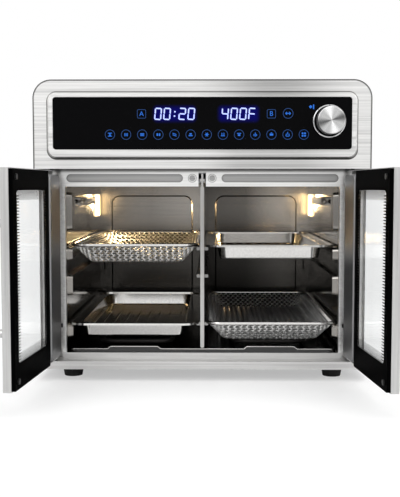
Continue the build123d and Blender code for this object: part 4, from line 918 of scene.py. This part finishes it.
class OVEN_OT_panel(bpy.types.Operator):
    """Finish the control glass and print its lit figures and touch marks"""

    bl_idname = "oven.panel"
    bl_label = "Control panel"

    # Bars of each figure: a, g and d lie level from top to bottom, b and c stand at the right, f and e at
    # the left, and h and i are dots
    FIGURES = {"0": "abcdef", "2": "abged", "4": "fgbc", "F": "aefg", ":": "hi"}
    # Bars of each touch mark: x, z, width, height and turn in degrees, in tenths of the mark's radius
    MARKS = (
        ((0, 3, 8, 1.4, 0), (0, -3, 8, 1.4, 0), (0, 0, 7, 1.4, 55), (0, 0, 7, 1.4, -55)),
        ((-2.5, 0, 1.4, 6, 0), (0, 0, 1.4, 6, 0), (2.5, 0, 1.4, 6, 0)),
        ((0, 2, 8, 1.4, 0), (0, 0, 8, 1.4, 0), (0, -2, 8, 1.4, 0)),
        ((-2, 0, 3, 5, 0), (2.4, 0, 3, 5, 0)),
        ((0, 1.6, 8, 1.4, 20), (0, -1.6, 8, 1.4, 20)),
        ((0, -2, 8, 2, 0), (0, 1.4, 4.4, 3, 0)),
        ((0, 0, 8, 1.4, 0), (0, 0, 8, 1.4, 60), (0, 0, 8, 1.4, -60)),
        ((0, -2.4, 8, 1.4, 0), (-2, 1, 1.4, 5, 0), (2, 1, 1.4, 5, 0)),
        ((0, 2.4, 8, 1.4, 0), (0, -1, 5, 3.4, 0)),
        ((0, 0, 8, 1.4, 90), (-2.6, -1, 1.4, 4, 0), (2.6, -1, 1.4, 4, 0)),
        ((0, 0, 7, 4, 0), (0, 3.4, 3, 1.2, 0)),
        ((0, 2.6, 1.4, 5, 0), (-3, -0.6, 1.4, 5, 12), (3, -0.6, 1.4, 5, -12), (0, -3.2, 5.4, 1.4, 0)),
        ((-2.4, 2.4, 3.4, 3.4, 0), (2.4, 2.4, 3.4, 3.4, 0), (-2.4, -2.4, 3.4, 3.4, 0),
         (2.4, -2.4, 3.4, 3.4, 0)),
    )
    # Double arrow that links the two zones, and small lamp beside the knob, in the same form
    LINK_BARS = (
        (0, 0, 10, 1.6, 0), (-3.6, 1.4, 4, 1.4, -40), (-3.6, -1.4, 4, 1.4, 40), (3.6, 1.4, 4, 1.4, 40),
        (3.6, -1.4, 4, 1.4, -40))
    LAMP_BARS = ((3.6, 0, 2.4, 9, 0), (-2.2, 0, 5, 5, 45))
    # Places on the glass: the two readings, the touch row, the link mark, the lamp and the zone letters
    CLOCK_X = -0.0322
    HEAT_X = 0.0428
    ROW_MIDDLE = 0.0055
    LINK_X = 0.1009
    LINK_RISE = 0.0005
    LINK_SIZE = 1.03
    LAMP_X = 0.1285
    LAMP_Z = 0.3262
    ZONE_X = {"A": -0.0712, "B": 0.0813}
    # Boxes round the zone letters, and a capital's height as a share of its font size
    ZONE_HALF = 0.0052
    ZONE_LINE = 0.0005
    CAPITAL_SHARE = 0.72
    # Painted glow round the figures: widths of the two readings, half height and reach
    CLOCK_WIDTH = 0.040
    HEAT_WIDTH = 0.038
    HAZE_HALF = 0.0045
    HAZE_REACH = 0.0075

    def execute(self, context):
        size = context.scene.oven_panel
        self.glass_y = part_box("control_glass")[0].y
        self.front = self.glass_y - size.lift
        self.depth = size.lift
        self.glass(size)
        figures = self.figures("00:20", self.CLOCK_X, size) + self.figures("400F", self.HEAT_X, size)
        marks, rims = self.touch_marks(size)
        prints = (
            ("clock_and_heat_figures", figures, lit("figure_light", size.digit_colour, 1.6)),
            ("touch_marks", marks, lit("mark_light", size.mark_colour)),
            ("touch_rims", rims, lit("rim_light", size.rim_colour)),
        )
        for name, parts, light in prints:
            dress(join(name, parts), light, "oven")
        return {"FINISHED"}

    def glass(self, size):
        """Black glass with a painted blue glow round the lit figures."""
        material = plain_finish("panel_glass", (0.0022, 0.0022, 0.0026), 0.08, Specular_IOR_Level=0.03)
        masks = []
        for x, width in ((self.CLOCK_X, self.CLOCK_WIDTH), (self.HEAT_X, self.HEAT_WIDTH)):
            half = (width / 2, 0.01, self.HAZE_HALF)
            masks.append(patch(material, (x, self.glass_y, size.figure_z), half, self.HAZE_REACH))
        both = calc(material.node_tree, "MAXIMUM", *masks)
        haze = scaled(material.node_tree, size.glow_colour, both)
        finish(material, Emission_Color=haze, Emission_Strength=0.20)
        paint(filmed(material, 30.0, 0.06, 0.10), "control_glass")

    def figures(self, text, middle, size):
        """Slanted seven-bar figures of one reading, set round its middle."""
        tall = size.digit_height
        wide, stroke, pitch = tall * 0.55, tall * 0.118, tall * 0.83
        shift, slant = 0.10, math.atan(0.06)
        level_bar = plate("level_bar", wide - 0.3 * stroke, stroke, stroke * 0.45, self.depth)
        upright = plate("upright", stroke, tall / 2 - 0.3 * stroke, stroke * 0.45, self.depth)
        dot = plate("dot", stroke * 1.2, stroke * 1.2, stroke * 0.4, self.depth)
        bars = {
            "a": (level_bar, 0, tall / 2), "g": (level_bar, 0, 0), "d": (level_bar, 0, -tall / 2),
            "b": (upright, wide / 2, tall / 4), "c": (upright, wide / 2, -tall / 4),
            "f": (upright, -wide / 2, tall / 4), "e": (upright, -wide / 2, -tall / 4),
            "h": (dot, 0, tall * 0.2), "i": (dot, 0, -tall * 0.2),
        }
        steps = [pitch * (0.7 if letter == ":" else 1.0) for letter in text]
        start = middle - sum(steps) / 2
        made = []
        for letter, step in zip(text, steps):
            for bar in self.FIGURES[letter]:
                pattern, x, z = bars[bar]
                place = (start + step / 2 + x + shift * z, self.front, size.figure_z + z)
                made.append(copy_part(pattern, place, slant))
            start += step
        discard(level_bar, upright, dot)
        return made

    def touch_marks(self, size):
        """Row of ringed touch marks, the two zone boxes, the link mark and the small lamp mark."""
        unit = size.mark_radius / 10
        rim = ring("mark_ring", size.mark_radius, 0.09 * size.mark_radius, self.depth)
        bar = plate("mark_bar", 1.0, 1.0, 0.12, self.depth)
        made, rims = [], []

        def put(x, z, bars):
            """Bars of one mark round its middle."""
            for bar_x, bar_z, width, height, turn in bars:
                place = (x + bar_x * unit, self.front, z + bar_z * unit)
                made.append(copy_part(bar, place, math.radians(turn), (width * unit, 1.0, height * unit)))

        start = self.ROW_MIDDLE - len(self.MARKS) // 2 * size.mark_pitch
        for number, bars in enumerate(self.MARKS):
            x = start + number * size.mark_pitch
            rims.append(copy_part(rim, (x, self.front, size.row_z)))
            put(x, size.row_z, bars)
        link_z = size.figure_z + self.LINK_RISE
        link_size = (self.LINK_SIZE, 1, self.LINK_SIZE)
        rims.append(copy_part(rim, (self.LINK_X, self.front, link_z), 0.0, link_size))
        put(self.LINK_X, link_z, self.LINK_BARS)
        put(self.LAMP_X, self.LAMP_Z, self.LAMP_BARS)
        box = ring("zone_box", self.ZONE_HALF, self.ZONE_LINE, self.depth, square=True)
        for letter, x in self.ZONE_X.items():
            rims.append(copy_part(box, (x, self.front, size.figure_z)))
            made.append(self.letter(letter, x, size))
        discard(rim, bar, box)
        return made, rims

    def letter(self, text, x, size):
        """Plain capital letter as a thin mesh."""
        words = add_piece(f"zone_{text}", bpy.ops.object.text_add, rotation=UPRIGHT).data
        words.body = text
        words.size = size.letter_height / self.CAPITAL_SHARE
        words.align_x = "CENTER"
        words.align_y = "CENTER"
        words.extrude = self.depth / 2
        words.resolution_u = 3
        bpy.ops.object.convert(target="MESH")
        mark = bpy.context.object
        mark.location = (x, self.front, size.figure_z)
        return settle(mark)


class OVEN_OT_knob(bpy.types.Operator):
    """Finish the knob with a spun face and a dark skirt, and mark its ring"""

    bl_idname = "oven.knob"
    bl_label = "Knob"

    # Marks on the ring: size of one, how far in from the ring's edge, and how far out from its face
    MARK_WIDTH = 0.0007
    MARK_LENGTH = 0.0026
    MARK_CORNER = 0.0002
    MARK_DEPTH = 0.0002
    MARK_INSET = 0.0011
    MARK_LIFT = 0.0001
    # Painted highlights round the spun face, as waves of tone: how many, their turn in degrees and their
    # strength
    GLINT_WAVES = ((2, 15, -0.30), (6, 45, 0.14))
    FACE_TONE = 0.60
    SKIRT = (0.05, 0.05, 0.052, 1)

    def execute(self, context):
        low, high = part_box("control_knob")
        centre = (low + high) / 2
        self.spun_face(centre)
        chrome = grained("ring_chrome", CHROME, 500.0, 0.08, 0.15, 1.0)
        paint(chrome, "knob_ring", "encoder_shaft")
        low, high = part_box("knob_ring")
        reach = (high.x - low.x) / 2 - self.MARK_INSET
        tick = plate("ring_tick", self.MARK_WIDTH, self.MARK_LENGTH, self.MARK_CORNER, self.MARK_DEPTH)
        marks = []
        for degrees in range(-135, 136, 45):
            angle = math.radians(degrees)
            x = centre.x + reach * math.sin(angle)
            z = centre.z + reach * math.cos(angle)
            marks.append(copy_part(tick, (x, low.y - self.MARK_LIFT, z), angle))
        discard(tick)
        mark_paint = grained("mark_paint", (0.03, 0.03, 0.03), 800.0, 0.4, 0.5)
        dress(join("ring_marks", marks), mark_paint, "oven")
        return {"FINISHED"}

    def spun_face(self, centre):
        """Turned metal: fine circles round the axis and painted highlights in waves round the face, dark on
        the skirt.
        """
        material = plain_finish("spun_metal", CHROME, 0.28, 1.0, Anisotropic=0.85)
        tree = material.node_tree
        offset = vector_calc(tree, "SUBTRACT", read_place(tree), centre)
        flat = vector_calc(tree, "MULTIPLY", offset, (1, 0, 1))
        sockets = {"W": length_of(tree, flat), "Scale": 2600.0, "Detail": 3.0}
        circles = add_node(tree, "TexNoise", sockets, noise_dimensions="1D")["Fac"]
        across = add_node(tree, "SeparateXYZ", {0: flat})
        angle = calc(tree, "ARCTAN2", across["Z"], across["X"])
        # Painted highlights and shade in waves of tone round the face
        tone = self.FACE_TONE
        for count, start, strength in self.GLINT_WAVES:
            turn = calc(tree, "MULTIPLY_ADD", angle, count, -count * math.radians(start))
            tone = calc(tree, "MULTIPLY_ADD", calc(tree, "COSINE", turn), strength, tone)
        spun = add_node(tree, "CombineXYZ", dict.fromkeys("XYZ", tone))["Vector"]
        skirt = remap(tree, read_axis(tree, "Normal", "Y"), -0.75, -0.25)
        round_way = add_node(tree, "Tangent", {}, direction_type="RADIAL", axis="Y")["Tangent"]
        finish(material, Base_Color=blend(tree, skirt, spun, self.SKIRT, data_type="RGBA"),
               Roughness=remap(tree, circles, 0.0, 1.0, 0.20, 0.36), Tangent=round_way)
        paint(material, "control_knob")


class OVEN_OT_stage(bpy.types.Operator):
    """Set up the pale floor, the soft light and the camera"""

    bl_idname = "oven.stage"
    bl_label = "Stage"

    # Soft lights: name, place, target, size, power and whether they show in metal
    SOFTBOXES = (
        ("key_box", (-1.5, -2.1, 1.7), (0, 0, 0.15), 1.6, 18.0, True),
        ("fill_box", (1.7, -1.7, 1.2), (0, 0, 0.15), 1.4, 12.0, True),
        ("top_box", (0.1, 0.2, 2.2), (0, 0, 0.2), 2.4, 62.0, False),
    )
    # Lamps in the cavity: how far in from the lenses, size and power
    LAMP_INSET = 0.008
    LAMP_SIZE = 0.034
    LAMP_POWER = 0.24
    SENSOR_WIDTH = 36.0
    FLOOR_WIDTH = 30
    FLOOR_DROP = 0.0002
    # How much of the floor near the oven shows its own shade, and how far that goes
    SHADOW_SHARE = 0.55
    SHADOW_HALF = (0.26, 0.24, 1.0)
    SHADOW_REACH = 0.42
    # Tones of the floor and of the low and high sky in metal, and strength of the sky as light
    FLOOR_IN_METAL = (0.68, 0.68, 0.68, 1)
    SKY_IN_METAL = (0.92, 1.0)
    SKY_LIGHT = 0.42

    def execute(self, context):
        size = context.scene.oven_stage
        self.floor(size)
        self.sky(context.scene)
        for name, place, target, width, power, mirrored in self.SOFTBOXES:
            light = self.soft_light(name, place, Vector(target) - Vector(place), width, power)
            light.visible_glossy = mirrored
        self.cavity_lamps(context.scene.oven_finish.lamp)
        lens = bpy.data.cameras.new("oven_camera")
        lens.lens = size.lens
        lens.sensor_width = self.SENSOR_WIDTH
        lens.sensor_fit = "AUTO"
        lens.clip_start = 0.02
        camera = bpy.data.objects.new("oven_camera", lens)
        camera.location = size.camera_place
        camera.rotation_euler = (math.pi / 2 - size.camera_tilt, 0, size.camera_turn)
        context.scene.collection.objects.link(camera)
        context.scene.camera = camera
        context.scene.view_settings.view_transform = "Standard"
        return {"FINISHED"}

    def floor(self, size):
        """Wide pale floor that keeps the oven's shadow and shows greyer in metal."""
        place = (0, 0, -self.FLOOR_DROP)
        floor = add_piece(
            "oven_floor", bpy.ops.mesh.primitive_plane_add, size=self.FLOOR_WIDTH, location=place)
        settle(floor)
        material = grained("floor_paint", size.floor_colour, 60.0, 0.7, 0.85, relief=0.0)
        tree = material.node_tree
        rays, seen = read_rays(tree)
        metal = calc(tree, "GREATER_THAN", rays["Is Glossy Ray"], rays["Is Transmission Ray"])
        near = patch(material, (0, 0, 0), self.SHADOW_HALF, self.SHADOW_REACH)
        white = calc(tree, "MULTIPLY", seen, calc(tree, "MULTIPLY_ADD", near, -self.SHADOW_SHARE, 1.0))
        pale = blend(tree, metal, (*size.floor_colour, 1), self.FLOOR_IN_METAL, data_type="RGBA")
        colour = blend(tree, white, pale, (0, 0, 0, 1), data_type="RGBA")
        finish(material, Base_Color=colour, Emission_Color=white, Emission_Strength=1.0)
        floor.data.materials.append(material)

    def sky(self, scene):
        """White surround for the camera and through glass, and a greyer sky in metal and as light."""
        world = bpy.data.worlds.new("oven_studio")
        world.use_nodes = True
        scene.world = world
        tree = world.node_tree
        rays, seen = read_rays(tree)
        gloss = remap(tree, read_axis(tree, "Generated", "Z"), -0.05, 0.55, *self.SKY_IN_METAL)
        unseen = blend(tree, rays["Is Glossy Ray"], self.SKY_LIGHT, gloss)
        light = tree.nodes["Background"]
        light.inputs["Color"].default_value = (1, 1, 1, 1)
        feed(tree, light.inputs["Strength"], blend(tree, seen, unseen, 1.0))

    def soft_light(self, name, place, aim, size, power):
        """Square soft light at a place, turned along its aim."""
        square = bpy.data.lights.new(name, "AREA")
        square.size = size
        square.energy = power
        light = bpy.data.objects.new(name, square)
        light.location = place
        light.rotation_euler = aim.to_track_quat("-Z", "Y").to_euler()
        bpy.context.scene.collection.objects.link(light)
        return light

    def cavity_lamps(self, colour):
        """Small warm lights in front of the lamp lenses, turned into the cavity."""
        low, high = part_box("lamp_lenses")
        middle = (low + high) / 2
        for side in (-1, 1):
            place = (side * (high.x - self.LAMP_INSET), middle.y, middle.z)
            aim = Vector((-side, -0.25, -0.35))
            light = self.soft_light("cavity_lamp", place, aim, self.LAMP_SIZE, self.LAMP_POWER)
            light.data.color = colour
            light.visible_camera = False


class OVEN_PT_sidebar(bpy.types.Panel):
    """The oven's pieces and settings"""

    bl_idname = "OVEN_PT_sidebar"
    bl_label = "Toaster oven"
    bl_space_type = "VIEW_3D"
    bl_region_type = "UI"
    bl_category = "Oven"

    def draw(self, context):
        for operator in OPERATORS:
            self.layout.operator(operator.bl_idname)
        for group, _ in SETTINGS:
            column = self.layout.column()
            settings = getattr(context.scene, group)
            for label in settings.__annotations__:
                column.prop(settings, label)


OPERATORS = (
    OVEN_OT_stage, OVEN_OT_housing, OVEN_OT_cavity, OVEN_OT_doors, OVEN_OT_ware, OVEN_OT_baskets,
    OVEN_OT_panel, OVEN_OT_knob,
)
SETTINGS = (
    ("oven_frame", FrameSettings), ("oven_panel", PanelSettings), ("oven_basket", BasketSettings),
    ("oven_doors", DoorSettings), ("oven_finish", FinishSettings), ("oven_stage", StageSettings),
)


def register():
    """Register the settings, the operators and the sidebar."""
    for group, settings in SETTINGS:
        bpy.utils.register_class(settings)
        setattr(bpy.types.Scene, group, PointerProperty(type=settings))
    for item in (*OPERATORS, OVEN_PT_sidebar):
        bpy.utils.register_class(item)


def unregister():
    """Take away what register added."""
    for item in (OVEN_PT_sidebar, *OPERATORS):
        bpy.utils.unregister_class(item)
    for group, settings in SETTINGS:
        delattr(bpy.types.Scene, group)
        bpy.utils.unregister_class(settings)


def main():
    """Dress the oven piece by piece."""
    register()
    bpy.ops.oven.stage()
    bpy.ops.oven.housing()
    bpy.ops.oven.cavity()
    bpy.ops.oven.doors()
    bpy.ops.oven.ware()
    bpy.ops.oven.baskets()
    bpy.ops.oven.panel()
    bpy.ops.oven.knob()
    deselect_all()


if __name__ == "__main__":
    main()
